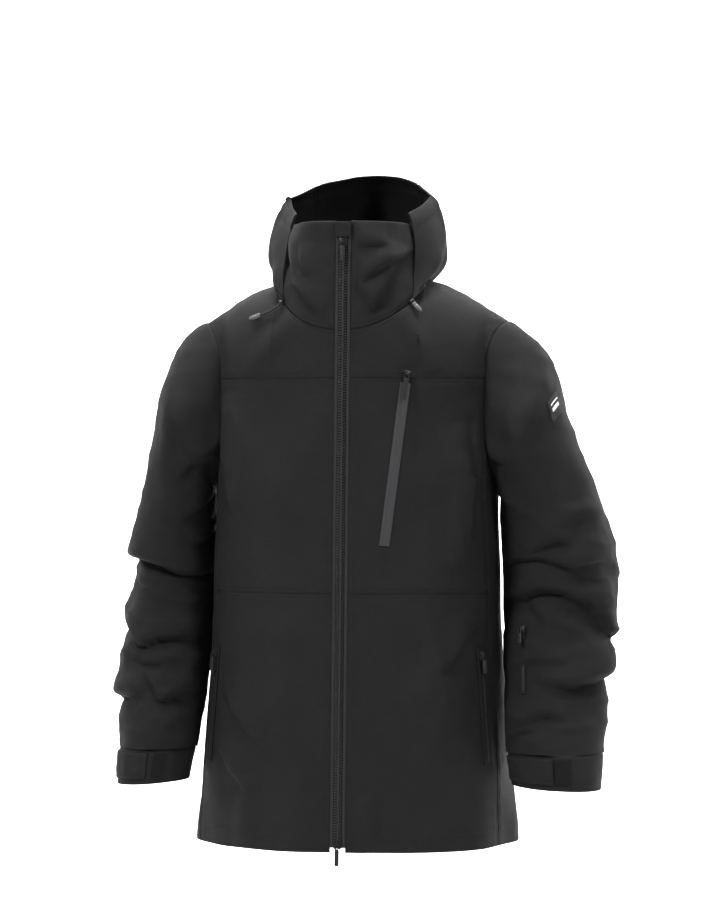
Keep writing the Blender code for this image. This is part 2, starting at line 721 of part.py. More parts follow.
def main_zip():
    top = Vector((0, front_line(MAIN_ZIP_TOP_Z), MAIN_ZIP_TOP_Z))
    bottom = Vector((0, front_line(MAIN_ZIP_BOTTOM_Z), MAIN_ZIP_BOTTOM_Z))
    axes = zip_frame(top, bottom, Vector((0, -1, 0)))
    length = (top - bottom).length
    middle = (top + bottom) / 2
    for side, sign in (("left", 1), ("right", -1)):
        teeth_half = (TEETH_HALF_WIDTH - TOUCH_GAP) / 2
        block(f"main_zip_teeth_{side}", middle + Vector((sign * (TOUCH_GAP + teeth_half), 0, 0)), axes,
              (teeth_half, TEETH_THICKNESS / 2, length / 2), "teeth")
        tape_half = (MAIN_TAPE_OUTER - MAIN_TAPE_INNER) / 2
        offset = Vector((sign * (MAIN_TAPE_INNER + tape_half), 0, 0)) - axes[1] * TAPE_THICKNESS
        block(f"main_zip_tape_{side}", middle + offset, axes, (tape_half, TAPE_THICKNESS / 2, length / 2), "tape")
    for prefix, z, pull in (("main_top", TOP_SLIDER_Z, MAIN_PULL_LENGTH),
                            ("main_bottom", MAIN_ZIP_BOTTOM_Z + BOTTOM_SLIDER_RISE, BOTTOM_PULL_LENGTH)):
        slider_and_pull(prefix, Vector((0, front_line(z), z)), axes, pull)


def riding_zip(prefix, top, bottom, face, travel_from, pull_length, tape):
    """A slider lying on its tape, and its hinged pull. The tape is a sheet made by the caller's function."""
    axes = zip_frame(top, bottom, face)
    _, out, along = axes
    tape()
    place = top - along * travel_from + out * (SLIDER_STAND_OFF + SLIDER_HEIGHT / 2)
    half = (POCKET_SLIDER_WIDTH / 2, SLIDER_HEIGHT / 2, SLIDER_LENGTH / 2)
    block(prefix + "_slider", place, axes, half, "metal", bevel=SLIDER_BEVEL)
    pull_on(prefix, place, axes, half[1], POCKET_PULL_WIDTH, pull_length)


def tape_on(surface_at, top, bottom, width, name):
    """A tape sheet lying on a surface between two (x, z) points, where surface_at gives the point there."""
    (top_x, top_z), (low_x, low_z) = top, bottom
    slope = Vector((top_x - low_x, top_z - low_z)).normalized()

    def surface(u, v):
        x = mix(low_x, top_x, v) + slope.y * width * (u - 0.5)
        z = mix(low_z, top_z, v) - slope.x * width * (u - 0.5)
        return surface_at(x, z)
    sheet(name, surface, steps(2), steps(6), "tape", depth=-SKIN_GAP - TAPE_THICKNESS, thickness=TAPE_THICKNESS)


def chest_zip():
    top = on_front(*CHEST_ZIP_TOP)
    bottom = on_front(*CHEST_ZIP_BOTTOM)
    tape_top = [mix(a, b, CHEST_TAPE_START) for a, b in zip(CHEST_ZIP_TOP, CHEST_ZIP_BOTTOM)]
    riding_zip("chest", top, bottom, CHEST_FACE, 0.0, CHEST_PULL_LENGTH,
               lambda: tape_on(on_front, tape_top, CHEST_ZIP_BOTTOM, CHEST_TAPE_WIDTH, "chest_zip_tape"))


def hand_zip_x(z):
    return half_width(z) - HAND_ZIP_INSET


def hand_zips():
    low_z = HAND_ZIP_TOP_Z - HAND_ZIP_LENGTH
    for side, sign in (("left", 1), ("right", -1)):
        top = (sign * hand_zip_x(HAND_ZIP_TOP_Z), HAND_ZIP_TOP_Z)
        low = (sign * hand_zip_x(low_z), low_z)
        name = f"hand_zip_tape_{side}"
        riding_zip(f"hand_{side}", on_front(*top), on_front(*low), Vector((sign * HAND_FACE_X, -1, 0)),
                   SLIDER_LENGTH, HAND_PULL_LENGTH,
                   lambda: tape_on(on_front, top, low, HAND_TAPE_WIDTH, name))


def pass_zip():
    surface = lower_sleeve("left", 0, 4)

    def at(u, v):
        z = mix(PASS_ZIP_TOP_Z - PASS_ZIP_LENGTH, PASS_ZIP_TOP_Z, v)
        position = (ELBOW_Z - z) / (ELBOW_Z - CUFF_TOP_Z)
        return surface(PASS_ZIP_SHARE + (0.5 - u) * PASS_TAPE_WIDTH / girth, through(stations, position))
    girth = math.pi * (LOWER_WIDTHS["left"][1] / 2 + LOWER_HALF_DEPTHS[1])
    stations = [(0, 0)] + [(share, (i + 1) / len(LOWER_SHARES)) for i, share in enumerate(LOWER_SHARES)]
    top, bottom = at(0.5, PASS_SLIDER_SHARE), at(0.5, 0)
    riding_zip("pass", top, bottom, outward(at, 0.5, 0.5), 0.0, PASS_PULL_LENGTH,
               lambda: sheet("pass_zip_tape", at, steps(1), steps(6), "tape",
                             depth=-SKIN_GAP - TAPE_THICKNESS, thickness=TAPE_THICKNESS))


# --- pieces --------------------------------------------------------------------------------------

def neckline_columns():
    """Columns closer together where the neckline turns up to the shoulder."""
    return [math.sin(math.pi / 12 * i) / 2 for i in range(7)]


def fronts():
    half_seam = SEAM_GAP / 2
    rows = steps(7)
    columns = steps(8)
    for part, low, high in (("panel", WAIST_Z + half_seam, YOKE_Z - half_seam), ("skirt", HEM_Z, WAIST_Z - half_seam)):
        surface = front_part(low, high)
        sheet(f"front_left_{part}", surface, columns, rows, "shell")
        sheet(f"front_right_{part}", mirrored(surface), columns, rows, "shell", hand=-1)
    surface = yoke_part(True, MAIN_TAPE_OUTER + TOUCH_GAP)
    columns = neckline_columns() + steps(4, 0.5, 1)[1:]
    sheet("front_left_yoke", surface, columns, steps(6), "shell")
    sheet("front_right_yoke", mirrored(surface), columns, steps(6), "shell", hand=-1)


def backs_and_sides():
    half_seam = SEAM_GAP / 2
    sheet("back_panel", back_part(HEM_Z, YOKE_Z - half_seam), steps(16), steps(11), "shell")
    half_back = yoke_part(False, 0.0)

    def back_yoke(u, v):
        across = 2 * u - 1
        point = half_back(abs(across), v)
        return Vector((-math.copysign(point.x, across), point.y, point.z))
    half = neckline_columns() + steps(4, 0.5, 1)[1:]
    columns = [(1 - u) / 2 for u in reversed(half)] + [(1 + u) / 2 for u in half[1:]]
    sheet("back_yoke", back_yoke, columns, steps(6), "shell")
    sheet("side_panel_left", side_part, steps(6), steps(9), "shell")
    sheet("side_panel_right", mirrored(side_part), steps(6), steps(9), "shell", hand=-1)


def collar_pieces():
    sheet("collar_left", collar_part, steps(12), steps(4), "shell", thickness=COLLAR_THICKNESS)
    sheet("collar_right", mirrored(collar_part), steps(12), steps(4), "shell", thickness=COLLAR_THICKNESS, hand=-1)
    axes = zip_frame(Vector((0, front_line(0.1), 0.1)), Vector((0, front_line(0), 0)), Vector((0, -1, 0)))
    low = TOP_SLIDER_Z + SLIDER_LENGTH / 2 + TOUCH_GAP
    middle = (COLLAR_TOP_Z + low) / 2
    out = TEETH_THICKNESS / 2 + TOUCH_GAP + GARAGE_THICKNESS / 2
    block("zip_garage", Vector((0, front_line(middle), middle)) + axes[1] * out, axes,
          (GARAGE_HALF_WIDTH, GARAGE_THICKNESS / 2, (COLLAR_TOP_Z - low) / 2), "shell", bevel=GARAGE_BEVEL)
    top = Vector((0, front_line(FLAP_TOP_Z), FLAP_TOP_Z))
    bottom = Vector((0, front_line(MAIN_ZIP_BOTTOM_Z), MAIN_ZIP_BOTTOM_Z))
    block("storm_flap", (top + bottom) / 2 - axes[1] * (FLAP_DEPTH + FLAP_THICKNESS / 2), axes,
          (FLAP_HALF_WIDTH, FLAP_THICKNESS / 2, (top - bottom).length / 2), "shell")


def hood_pieces():
    seam = SEAM_GAP / 2 / HOOD_SIDE_REACH
    side = hood_half(HOOD_FRONT_TOP_ANGLE, HOOD_SEAM_ANGLE - seam)
    sheet("hood_side_left", side, steps(8), steps(9), "shell")
    sheet("hood_side_right", mirrored(side), steps(8), steps(9), "shell", hand=-1)
    sheet("hood_centre_panel", hood_middle, steps(6), steps(9), "shell")
    place = hood(math.pi, HOOD_ADJUSTER_RISE)
    out = outward(hood_middle, 0.5, HOOD_ADJUSTER_RISE)
    side_axis = Vector((1, 0, 0))
    axes = (side_axis, out, side_axis.cross(out))
    block("hood_adjuster", place + out * HOOD_ADJUSTER_STAND_OFF, axes, HOOD_ADJUSTER_HALF, "rubber",
          bevel=HOOD_ADJUSTER_BEVEL)


def sleeves():
    for side, hand in (("left", 1), ("right", -1)):
        turn = (lambda surface: surface) if hand > 0 else mirrored
        around = steps(SLEEVE_SIDES)[:-1]
        gap = SEAM_GAP * len(LOWER_SHARES) / (ELBOW_Z - CUFF_TOP_Z)
        upper = turn(upper_sleeve(side))
        sheet(f"sleeve_upper_{side}", upper, around, steps(9), "shell", thickness=SLEEVE_WALL, hand=hand, loop=True)
        lower = turn(lower_sleeve(side, gap, 4 - gap / 2))
        sheet(f"sleeve_lower_{side}", lower, around, steps(6), "shell", thickness=SLEEVE_WALL, hand=hand, loop=True)
        cuff = turn(lower_sleeve(side, 4 + gap / 2, 5))
        sheet(f"cuff_{side}", cuff, around, steps(2), "shell", thickness=SLEEVE_WALL, hand=hand, loop=True)
        first, last = CUFF_TAB_SHARES[side]
        tab = patch_on(cuff, (first, last), CUFF_TAB_SPAN)
        sheet(f"cuff_tab_{side}", tab, steps(5), steps(1), "shell",
              depth=-SKIN_GAP - TAB_THICKNESS, thickness=TAB_THICKNESS, hand=hand)
    badge = patch_on(upper_sleeve("left"), BADGE_SHARES, BADGE_SPAN)
    sheet("sleeve_badge", badge, steps(3), steps(2), "badge", depth=-SKIN_GAP - TAPE_THICKNESS,
          thickness=TAPE_THICKNESS)


def linings():
    def body_lining(u, v):
        start = body_angle(LINING_FRONT_X, WAIST_Z)
        angle = mix(start, 2 * math.pi - start, u)
        folded = angle if angle < math.pi else 2 * math.pi - angle
        corner = side_seam_angle(ARMHOLE_CORNER_Z)
        under_arm = corner < folded < math.pi - corner
        top = armhole_bottom(folded) - LINING_CLEARANCE * 2 if under_arm else YOKE_Z - LINING_CLEARANCE
        return body(angle, mix(HEM_Z + LINING_CLEARANCE, top, v))
    sheet("body_lining", body_lining, steps(30), steps(7), "lining", depth=LINING_DEPTH, thickness=LINING_THICKNESS)

    def powder_skirt(u, v):
        start = body_angle(LINING_FRONT_X, WAIST_Z)
        return body(mix(start, 2 * math.pi - start, u), mix(POWDER_SKIRT_LOW_Z, POWDER_SKIRT_TOP_Z, v))
    sheet("powder_skirt", powder_skirt, steps(26), steps(1), "lining", depth=POWDER_SKIRT_DEPTH,
          thickness=LINING_THICKNESS)
    snap_z = mix(POWDER_SKIRT_LOW_Z, POWDER_SKIRT_TOP_Z, 0.5)
    face = on_front(SNAP_X, snap_z)
    made = bmesh.new()
    bmesh.ops.create_cone(made, cap_ends=True, segments=16, radius1=SNAP_RADIUS, radius2=SNAP_RADIUS,
                          depth=SNAP_THICKNESS)
    bmesh.ops.rotate(made, matrix=Matrix.Rotation(math.pi / 2, 3, "X"), verts=made.verts)
    depth = POWDER_SKIRT_DEPTH + LINING_THICKNESS + SNAP_STAND_OFF + SNAP_THICKNESS / 2
    bmesh.ops.translate(made, vec=face + Vector((0, depth, 0)), verts=made.verts)
    finish("powder_skirt_snap", made, "metal")


def pocket_bags():
    depth = {"depth": BAG_DEPTH, "thickness": BAG_THICKNESS}

    def bag(x_range, z_range):
        return lambda u, v: on_front(mix(*x_range, u), mix(*z_range, v))
    inner, outer, low, high = CHEST_BAG_MARGINS
    sheet("chest_pocket_bag", bag((inner, armhole_x() - outer), (CHEST_ZIP_BOTTOM[1] - low, YOKE_Z - high)),
          steps(5), steps(4), "lining", **depth)
    outer, low, high = HAND_BAG_MARGINS
    edge = hand_zip_x(HAND_ZIP_TOP_Z) - outer
    left = bag((FLAP_HALF_WIDTH + HAND_BAG_TO_FLAP, edge),
               (HAND_ZIP_TOP_Z - HAND_ZIP_LENGTH - low, HAND_ZIP_TOP_Z + high))
    sheet("hand_pocket_bag_left", left, steps(5), steps(4), "lining", **depth)
    sheet("hand_pocket_bag_right", mirrored(left), steps(5), steps(4), "lining", hand=-1, **depth)


def neck_trim():
    x_axis, y_axis, z_axis = Vector((1, 0, 0)), Vector((0, 1, 0)), Vector((0, 0, 1))
    back = neckline(math.pi)
    centre = Vector((0, back.y - HANGER_INSET, back.z - HANGER_DROP))
    hole = [half - HANGER_STRAP for half in HANGER_HALF[:2]]
    block("hanger_loop", centre, (x_axis, z_axis, y_axis), HANGER_HALF, "cord", hole=hole)


def cord_tube(name, route, radius, slot):
    curve = bpy.data.curves.new(name, "CURVE")
    curve.dimensions = "3D"
    curve.bevel_depth = radius
    curve.bevel_resolution = 2
    curve.use_fill_caps = True
    spline = curve.splines.new("POLY")
    spline.points.add(len(route) - 1)
    for point, place in zip(spline.points, route):
        point.co = (*place, 1)
    obj = bpy.data.objects.new(name, curve)
    curve.materials.append(material(slot))
    bpy.context.scene.collection.objects.link(obj)


def pin_along(name, start, direction, length, radius, slot, tip=CORD_END_TAPER):
    """A tapered round piece from start along a direction."""
    made = bmesh.new()
    bmesh.ops.create_cone(made, cap_ends=True, segments=10, radius1=radius, radius2=radius * tip, depth=length)
    turn = Vector((0, 0, 1)).rotation_difference(direction).to_matrix()
    bmesh.ops.rotate(made, matrix=turn, verts=made.verts)
    bmesh.ops.translate(made, vec=start + direction * length / 2, verts=made.verts)
    finish(name, made, slot)


def hood_cords():
    route = [Vector(point) for point in HOOD_CORD_ROUTE]
    cord_tube("hood_cord_right", route, CORD_DIAMETER / 2, "cord")
    along = (route[-1] - route[-2]).normalized()
    pin_along("cord_end_right", route[-1] + along * TOUCH_GAP, along, CORD_END_LENGTH, CORD_END_DIAMETER / 2,
              "cord_end")
    back = (route[0] - route[1]).normalized()
    pin_along("cord_eyelet_right", route[0] + back * TOUCH_GAP, back, EYELET_LENGTH, EYELET_RADIUS, "metal", tip=1.0)
    other = Vector((-route[0].x, route[0].y, route[0].z))
    away = Vector((-back.x, back.y, back.z))
    pin_along("cord_end_left", other - away * TOUCH_GAP, -away, CORD_END_LENGTH, CORD_END_DIAMETER / 2, "cord_end")
    pin_along("cord_eyelet_left", other + away * TOUCH_GAP, away, EYELET_LENGTH, EYELET_RADIUS, "metal", tip=1.0)


def main():
    for obj in list(bpy.data.objects):
        bpy.data.objects.remove(obj, do_unlink=True)
    fronts()
    backs_and_sides()
    collar_pieces()
    hood_pieces()
    sleeves()
    main_zip()
    chest_zip()
    hand_zips()
    pass_zip()
    linings()
    pocket_bags()
    neck_trim()
    hood_cords()


main()
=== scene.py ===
"""Ski jacket as worn, in black woven cloth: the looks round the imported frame.

Metres; +X is the wearer's left, the front faces -Y and +Z is up, with the origin in the neck opening.
"""

import json
import math

import bmesh
import bpy
import numpy as np
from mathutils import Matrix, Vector, noise

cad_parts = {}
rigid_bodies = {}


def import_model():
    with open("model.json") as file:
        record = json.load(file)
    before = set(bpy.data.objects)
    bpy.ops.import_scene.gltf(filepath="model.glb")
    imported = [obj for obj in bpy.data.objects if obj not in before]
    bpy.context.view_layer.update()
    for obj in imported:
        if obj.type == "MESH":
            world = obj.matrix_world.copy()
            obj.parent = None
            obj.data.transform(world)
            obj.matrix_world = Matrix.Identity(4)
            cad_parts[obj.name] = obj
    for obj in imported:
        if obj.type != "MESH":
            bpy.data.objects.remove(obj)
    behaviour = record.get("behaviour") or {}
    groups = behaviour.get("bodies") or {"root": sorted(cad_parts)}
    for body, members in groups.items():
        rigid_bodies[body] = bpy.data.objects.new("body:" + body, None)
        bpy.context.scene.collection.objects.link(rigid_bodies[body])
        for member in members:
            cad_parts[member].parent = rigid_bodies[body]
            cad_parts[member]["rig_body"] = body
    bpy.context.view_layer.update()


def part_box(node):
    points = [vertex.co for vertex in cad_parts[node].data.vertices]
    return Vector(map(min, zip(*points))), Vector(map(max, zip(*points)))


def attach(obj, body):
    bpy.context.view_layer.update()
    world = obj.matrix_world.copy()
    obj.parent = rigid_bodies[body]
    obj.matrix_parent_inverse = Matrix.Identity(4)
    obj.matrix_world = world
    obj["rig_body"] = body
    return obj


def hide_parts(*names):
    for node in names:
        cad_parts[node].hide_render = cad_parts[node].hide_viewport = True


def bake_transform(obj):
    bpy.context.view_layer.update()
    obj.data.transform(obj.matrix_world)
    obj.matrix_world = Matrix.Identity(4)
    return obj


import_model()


# --- the jacket's form, the same as the frame's --------------------------------------------------

def low(node, axis):
    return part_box(node)[0][axis]


def high(node, axis):
    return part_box(node)[1][axis]


COLLAR_TOP_Z = high("collar_left", 2)
HEM_Z = low("back_panel", 2)
YOKE_Z = (high("front_left_panel", 2) + low("front_left_yoke", 2)) / 2
WAIST_Z = (high("front_left_skirt", 2) + low("front_left_panel", 2)) / 2
SHOULDER_Z, SHOULDER_HALF_WIDTH = -0.055, 0.200
NECK_FRONT_DROP, NECK_BACK_DROP, NECK_HALF_WIDTH = 0.070, 0.012, 0.095
ARMHOLE_CORNER_Z, UNDERARM_Z = -0.215, -0.270
CHEST_HALF_WIDTH, WAIST_HALF_WIDTH, HEM_HALF_WIDTH = 0.186, 0.190, 0.207
FRONT_DEPTH, FRONT_LEAN = 0.128, 0.061
CHEST_BACK_DEPTH, WAIST_BACK_DEPTH, HEM_BACK_DEPTH = 0.140, 0.124, 0.140
SQUARENESS, NECKLINE_SQUARENESS, COLLAR_SQUARENESS = 2.3, 7.0, 2.6
ARMHOLE_INSET = 0.012
QUARTER = math.pi / 2
SIDE_SEAM_ANGLE = math.radians(70)
COLLAR_TOP_HALF_WIDTH, COLLAR_BACK_DEPTH, COLLAR_BACK_Z = 0.080, 0.057, 0.034
ELBOW_Z, CUFF_TOP_Z, CUFF_END_Z = -0.400, -0.612, -0.655
SLEEVE_CLEARANCE = 0.004
UPPER_WIDTHS = {"left": (0.112, 0.130, 0.146, 0.147), "right": (0.092, 0.104, 0.109, 0.108)}
LOWER_WIDTHS = {"left": (0.142, 0.133, 0.128, 0.124), "right": (0.114, 0.114, 0.105, 0.100)}
CUFF_WIDTH = {"left": 0.115, "right": 0.094}
CAP_REACH = {"left": 0.077, "right": 0.069}
ZIP_EDGE, ZIP_GAP = 0.0093, 0.0003  # half width of the zip, and the gap between it and the cloth
SIDES = (("left", 1), ("right", -1))


def mix(a, b, t):
    return a + (b - a) * t


def ease(t):
    t = min(1.0, max(0.0, t))
    return t * t * (3 - 2 * t)


def signed_power(value, power):
    return math.copysign(abs(value) ** power, value)


def through(stations, position):
    if position <= stations[0][0]:
        return stations[0][1]
    for (start, a), (end, b) in zip(stations, stations[1:]):
        if position <= end:
            return mix(a, b, ease((position - start) / (end - start)))
    return stations[-1][1]


def catmull(values, position):
    last = len(values) - 1
    k = min(last - 1, max(0, int(position)))
    t = position - k
    a, b, c, d = (values[min(last, max(0, k + step))] for step in (-1, 0, 1, 2))
    return 0.5 * (2 * b + (c - a) * t + (2 * a - 5 * b + 4 * c - d) * t * t + (3 * b - a - 3 * c + d) * t ** 3)


def front_line(z):
    return -FRONT_DEPTH + FRONT_LEAN * (z - YOKE_Z)


def half_width(z):
    return through(((HEM_Z, HEM_HALF_WIDTH), (WAIST_Z, WAIST_HALF_WIDTH), (UNDERARM_Z, CHEST_HALF_WIDTH)), z)


def back_depth(z):
    return through(((HEM_Z, HEM_BACK_DEPTH), (WAIST_Z, WAIST_BACK_DEPTH), (YOKE_Z, CHEST_BACK_DEPTH)), z)


def body(angle, z):
    """Point of the body below the yoke seam: angle 0 is the centre front and 90 degrees the left side."""
    power = 2 / SQUARENESS
    depth = front_line(z) if math.cos(angle) > 0 else back_depth(z)
    return Vector((half_width(z) * signed_power(math.sin(angle), power), abs(math.cos(angle)) ** power * depth, z))


def body_angle(x, z):
    return math.asin(min(1.0, (abs(x) / half_width(z)) ** (SQUARENESS / 2)))


def on_front(x, z):
    return body(math.copysign(body_angle(x, z), x), z)


def side_seam_angle(z):
    armhole = body_angle(CHEST_HALF_WIDTH - ARMHOLE_INSET, YOKE_Z)
    return mix(armhole, SIDE_SEAM_ANGLE, ease((ARMHOLE_CORNER_Z - z) / (ARMHOLE_CORNER_Z - WAIST_Z)))


def armhole_bottom(angle):
    corner = QUARTER - side_seam_angle(ARMHOLE_CORNER_Z)
    off = min(1.0, abs(angle - QUARTER) / corner)
    return mix(UNDERARM_Z, ARMHOLE_CORNER_Z, off * off)


def ridge(x):
    fall = max(0.0, abs(x) - NECK_HALF_WIDTH) / (SHOULDER_HALF_WIDTH - NECK_HALF_WIDTH)
    return SHOULDER_Z * fall ** 1.2


def yoke_squareness(x, front):
    flat = NECKLINE_SQUARENESS if front else SQUARENESS
    return mix(flat, SQUARENESS, ease(abs(x) / NECK_HALF_WIDTH))


def yoke_point(x, turn, front):
    """Point of the yoke at x: turn 0 is its lower edge and turn 1 is the shoulder line."""
    squareness = yoke_squareness(x, front)
    quarter = turn * QUARTER
    z = mix(YOKE_Z, ridge(x), math.sin(quarter) ** (2 / squareness))
    angle = body_angle(min(abs(x), CHEST_HALF_WIDTH - ARMHOLE_INSET), YOKE_Z)
    depth = body(angle if front else math.pi - angle, YOKE_Z).y + (FRONT_LEAN * (z - YOKE_Z) if front else 0.0)
    return Vector((x, depth * abs(math.cos(quarter)) ** (2 / squareness), z))


def neckline_turn(x, front):
    if abs(x) >= NECK_HALF_WIDTH:
        return 1.0
    drop = NECK_FRONT_DROP if front else NECK_BACK_DROP
    z = -drop * math.sqrt(max(0.0, 1 - (x / NECK_HALF_WIDTH) ** 2))
    share = (z - YOKE_Z) / (ridge(x) - YOKE_Z)
    return math.asin(min(1.0, share ** (yoke_squareness(x, front) / 2))) / (QUARTER)


def armhole_edge_x(turn):
    return mix(CHEST_HALF_WIDTH - ARMHOLE_INSET, SHOULDER_HALF_WIDTH, math.sin(turn * QUARTER) ** 2)


def neckline(angle):
    front = math.cos(angle) > 0
    x = NECK_HALF_WIDTH * math.sin(angle)
    turn = neckline_turn(min(abs(x), NECK_HALF_WIDTH * 0.9999), front)
    point = yoke_point(abs(x), turn, front)
    return Vector((x, point.y, point.z))


def collar_top(angle):
    power = 2 / COLLAR_SQUARENESS
    depth = front_line(COLLAR_TOP_Z) if math.cos(angle) > 0 else COLLAR_BACK_DEPTH
    z = mix(COLLAR_BACK_Z, COLLAR_TOP_Z, ease((1 + math.cos(angle)) / 2 * 1.6))
    return Vector((COLLAR_TOP_HALF_WIDTH * signed_power(math.sin(angle), power),
                   abs(math.cos(angle)) ** power * depth, z))


HOOD_STAND_OFF = 0.010
HOOD_FRONT_BASE_ANGLE, HOOD_FRONT_TOP_ANGLE = math.radians(62), math.radians(42)
HOOD_SIDE_REACH, HOOD_BACK_REACH = 0.122, 0.205
HOOD_RIM_HALF_WIDTH, HOOD_RIM_BACK_Y, HOOD_RIM_BACK_Z, HOOD_RIM_SIDE_Z = 0.096, 0.150, 0.150, 0.112
HOOD_SEAM_ANGLE = math.radians(138)


def hood_foot(angle):
    """How far an angle is in the hood's front (0 to 1), and the angle at which the hood starts on the neckline."""
    front = ease((QUARTER - angle) / (QUARTER - HOOD_FRONT_TOP_ANGLE))
    return front, max(angle, HOOD_FRONT_BASE_ANGLE * front + angle * (1 - front))


def hood(angle, rise, snug=0.0):
    """Point of the hood lying back, at an angle as on the neckline.

    rise is 0 at the neckline and 1 at the rim; snug 1 lays the hood against the collar.
    """
    stand_off = HOOD_STAND_OFF * (1 - 0.72 * snug)
    back = ease((angle - QUARTER) / QUARTER)
    side = 1 - ease(abs(angle - QUARTER) / QUARTER)
    front, base_angle = hood_foot(angle)
    away = Vector((math.sin(base_angle), -math.cos(base_angle), 1)) * stand_off
    start = neckline(base_angle) + away
    sine = math.sin(angle)
    rim_front = collar_top(angle) + Vector((sine, -abs(math.cos(angle)), 0)) * stand_off + Vector((0, 0, 0.004))
    bulge = Vector((0.006, -0.004, 0)) * (1 - snug)
    rim_round = Vector((HOOD_RIM_HALF_WIDTH * abs(sine) ** 0.9, HOOD_RIM_BACK_Y * back + 0.02 * side,
                        mix(HOOD_RIM_SIDE_Z, HOOD_RIM_BACK_Z, back)))
    rim = rim_round.lerp(rim_front, front)
    reach = Vector((HOOD_SIDE_REACH * abs(sine) ** 0.8, HOOD_BACK_REACH * back + 0.01 * side, 0))
    low_pull = Vector((mix(reach.x, start.x, 0.15), mix(reach.y, start.y, 0.3) * 1.02, mix(0.024, -0.052, back)))
    high_pull = Vector((reach.x * 1.04, reach.y * mix(1, 1.28, back), mix(0.085, 0.050, back)))
    low_pull = low_pull.lerp(start.lerp(rim, 0.33) + bulge, front)
    high_pull = high_pull.lerp(start.lerp(rim, 0.66) + bulge, front)
    return (start * (1 - rise) ** 3 + low_pull * (3 * rise * (1 - rise) ** 2)
            + high_pull * (3 * rise * rise * (1 - rise)) + rim * rise ** 3)


def armhole_loop():
    points = []
    count = 24
    for i in range(count):
        turn = 1 - i / count
        points.append(yoke_point(armhole_edge_x(turn), turn, True))
    for i in range(count // 2 + 1):
        z = mix(YOKE_Z, ARMHOLE_CORNER_Z, i / (count // 2))
        points.append(body(side_seam_angle(z), z))
    corner = side_seam_angle(ARMHOLE_CORNER_Z)
    for i in range(1, count + 1):
        angle = mix(corner, math.pi - corner, i / count)
        points.append(body(angle, armhole_bottom(angle)))
    for i in range(1, count // 2 + 1):
        z = mix(ARMHOLE_CORNER_Z, YOKE_Z, i / (count // 2))
        points.append(body(math.pi - side_seam_angle(z), z))
    for i in range(1, count + 1):
        points.append(yoke_point(armhole_edge_x(i / count), i / count, False))
    return points


def along_loop(points, share):
    spans = [(b - a).length for a, b in zip(points, points[1:])]
    target = share % 1.0 * sum(spans)
    for (a, b), span in zip(zip(points, points[1:]), spans):
        if target <= span:
            return a.lerp(b, target / span if span else 0)
        target -= span
    return points[-1].copy()


def sleeve_rings(side):
    """Rings down a sleeve from armhole to cuff as (outer x, z), (inner x, z), middle y and half depth."""
    def inner(z):
        return half_width(z) + SLEEVE_CLEARANCE
    rings = [((SHOULDER_HALF_WIDTH, SHOULDER_Z), (CHEST_HALF_WIDTH, UNDERARM_Z), 0.0, 0.098)]
    for share, drop, under, middle_y, depth in ((0.47, 0.025, 0.006, 0.0, 0.092), (0.80, 0.067, 0.014, 0.002, 0.086),
                                                (1.0, 0.120, 0.024, 0.004, 0.080)):
        rings.append(((SHOULDER_HALF_WIDTH + CAP_REACH[side] * share, SHOULDER_Z - drop),
                      (inner(UNDERARM_Z), UNDERARM_Z - under), middle_y, depth))
    for i, share in enumerate((0.18, 0.45, 0.72, 1.0)):
        inner_z = mix(UNDERARM_Z - 0.030, ELBOW_Z, share)
        edge = inner(inner_z)
        rings.append(((edge + UPPER_WIDTHS[side][i], mix(SHOULDER_Z - 0.150, ELBOW_Z, share ** 0.9)),
                      (edge, inner_z), mix(0.005, 0.016, share), (0.077, 0.075, 0.074, 0.074)[i]))
    for i, share in enumerate((0.28, 0.60, 0.86, 1.0)):
        z = mix(ELBOW_Z, CUFF_TOP_Z, share)
        edge = inner(z)
        rings.append(((edge + LOWER_WIDTHS[side][i], z), (edge, z), mix(0.016, -0.062, share ** 1.3),
                      (0.071, 0.067, 0.063, 0.060)[i]))
    edge = inner(CUFF_END_Z) + 0.004
    rings.append(((edge + CUFF_WIDTH[side], CUFF_END_Z - 0.003), (edge, CUFF_END_Z + 0.003), -0.072, 0.056))
    return rings


ARMHOLE = armhole_loop()
CAP_END = 2.2  # ring position down to which the sleeve takes over from the armhole


def sleeve(rings, share, position):
    """Point of a left sleeve: share of the way round from the outer edge over the front, position in rings."""
    flat = [(*outer, *inner, middle_y, depth) for outer, inner, middle_y, depth in rings]
    angle = 2 * math.pi * share
    across = math.cos(angle) / 2

    def on_ring(outer_x, outer_z, inner_x, inner_z, middle_y, depth):
        return Vector(((outer_x + inner_x) / 2 + (outer_x - inner_x) * across, middle_y - depth * math.sin(angle),
                       (outer_z + inner_z) / 2 + (outer_z - inner_z) * across))
    point = on_ring(*(catmull(values, position) for values in zip(*flat)))
    blend = 1 - ease(position / CAP_END)
    if blend > 0:
        point += (along_loop(ARMHOLE, share) - on_ring(*flat[0])) * blend
    return point + Vector((0.0018 * max(0.0, blend), 0, 0))


def mirrored(point):
    return Vector((-point.x, point.y, point.z))


def sided(surface, sign):
    """The surface itself for the left side, and its mirror image for the right side."""
    if sign > 0:
        return surface
    return lambda u, v: mirrored(surface(u, v))


# --- materials -----------------------------------------------------------------------------------

def link_all(tree, *pairs):
    for source, target in pairs:
        tree.links.new(source, target)


def math_node(tree, operation, a, b=None):
    node = tree.nodes.new("ShaderNodeMath")
    node.operation = operation
    for socket, value in zip(node.inputs, (a, b)):
        if value is None:
            continue
        if isinstance(value, (int, float)):
            socket.default_value = value
        else:
            tree.links.new(value, socket)
    return node.outputs[0]


def noise_node(tree, vector, scale, detail=3.0, rough=0.55):
    node = tree.nodes.new("ShaderNodeTexNoise")
    node.inputs["Scale"].default_value = scale
    node.inputs["Detail"].default_value = detail
    node.inputs["Roughness"].default_value = rough
    tree.links.new(vector, node.inputs["Vector"])
    return node.outputs["Fac"]


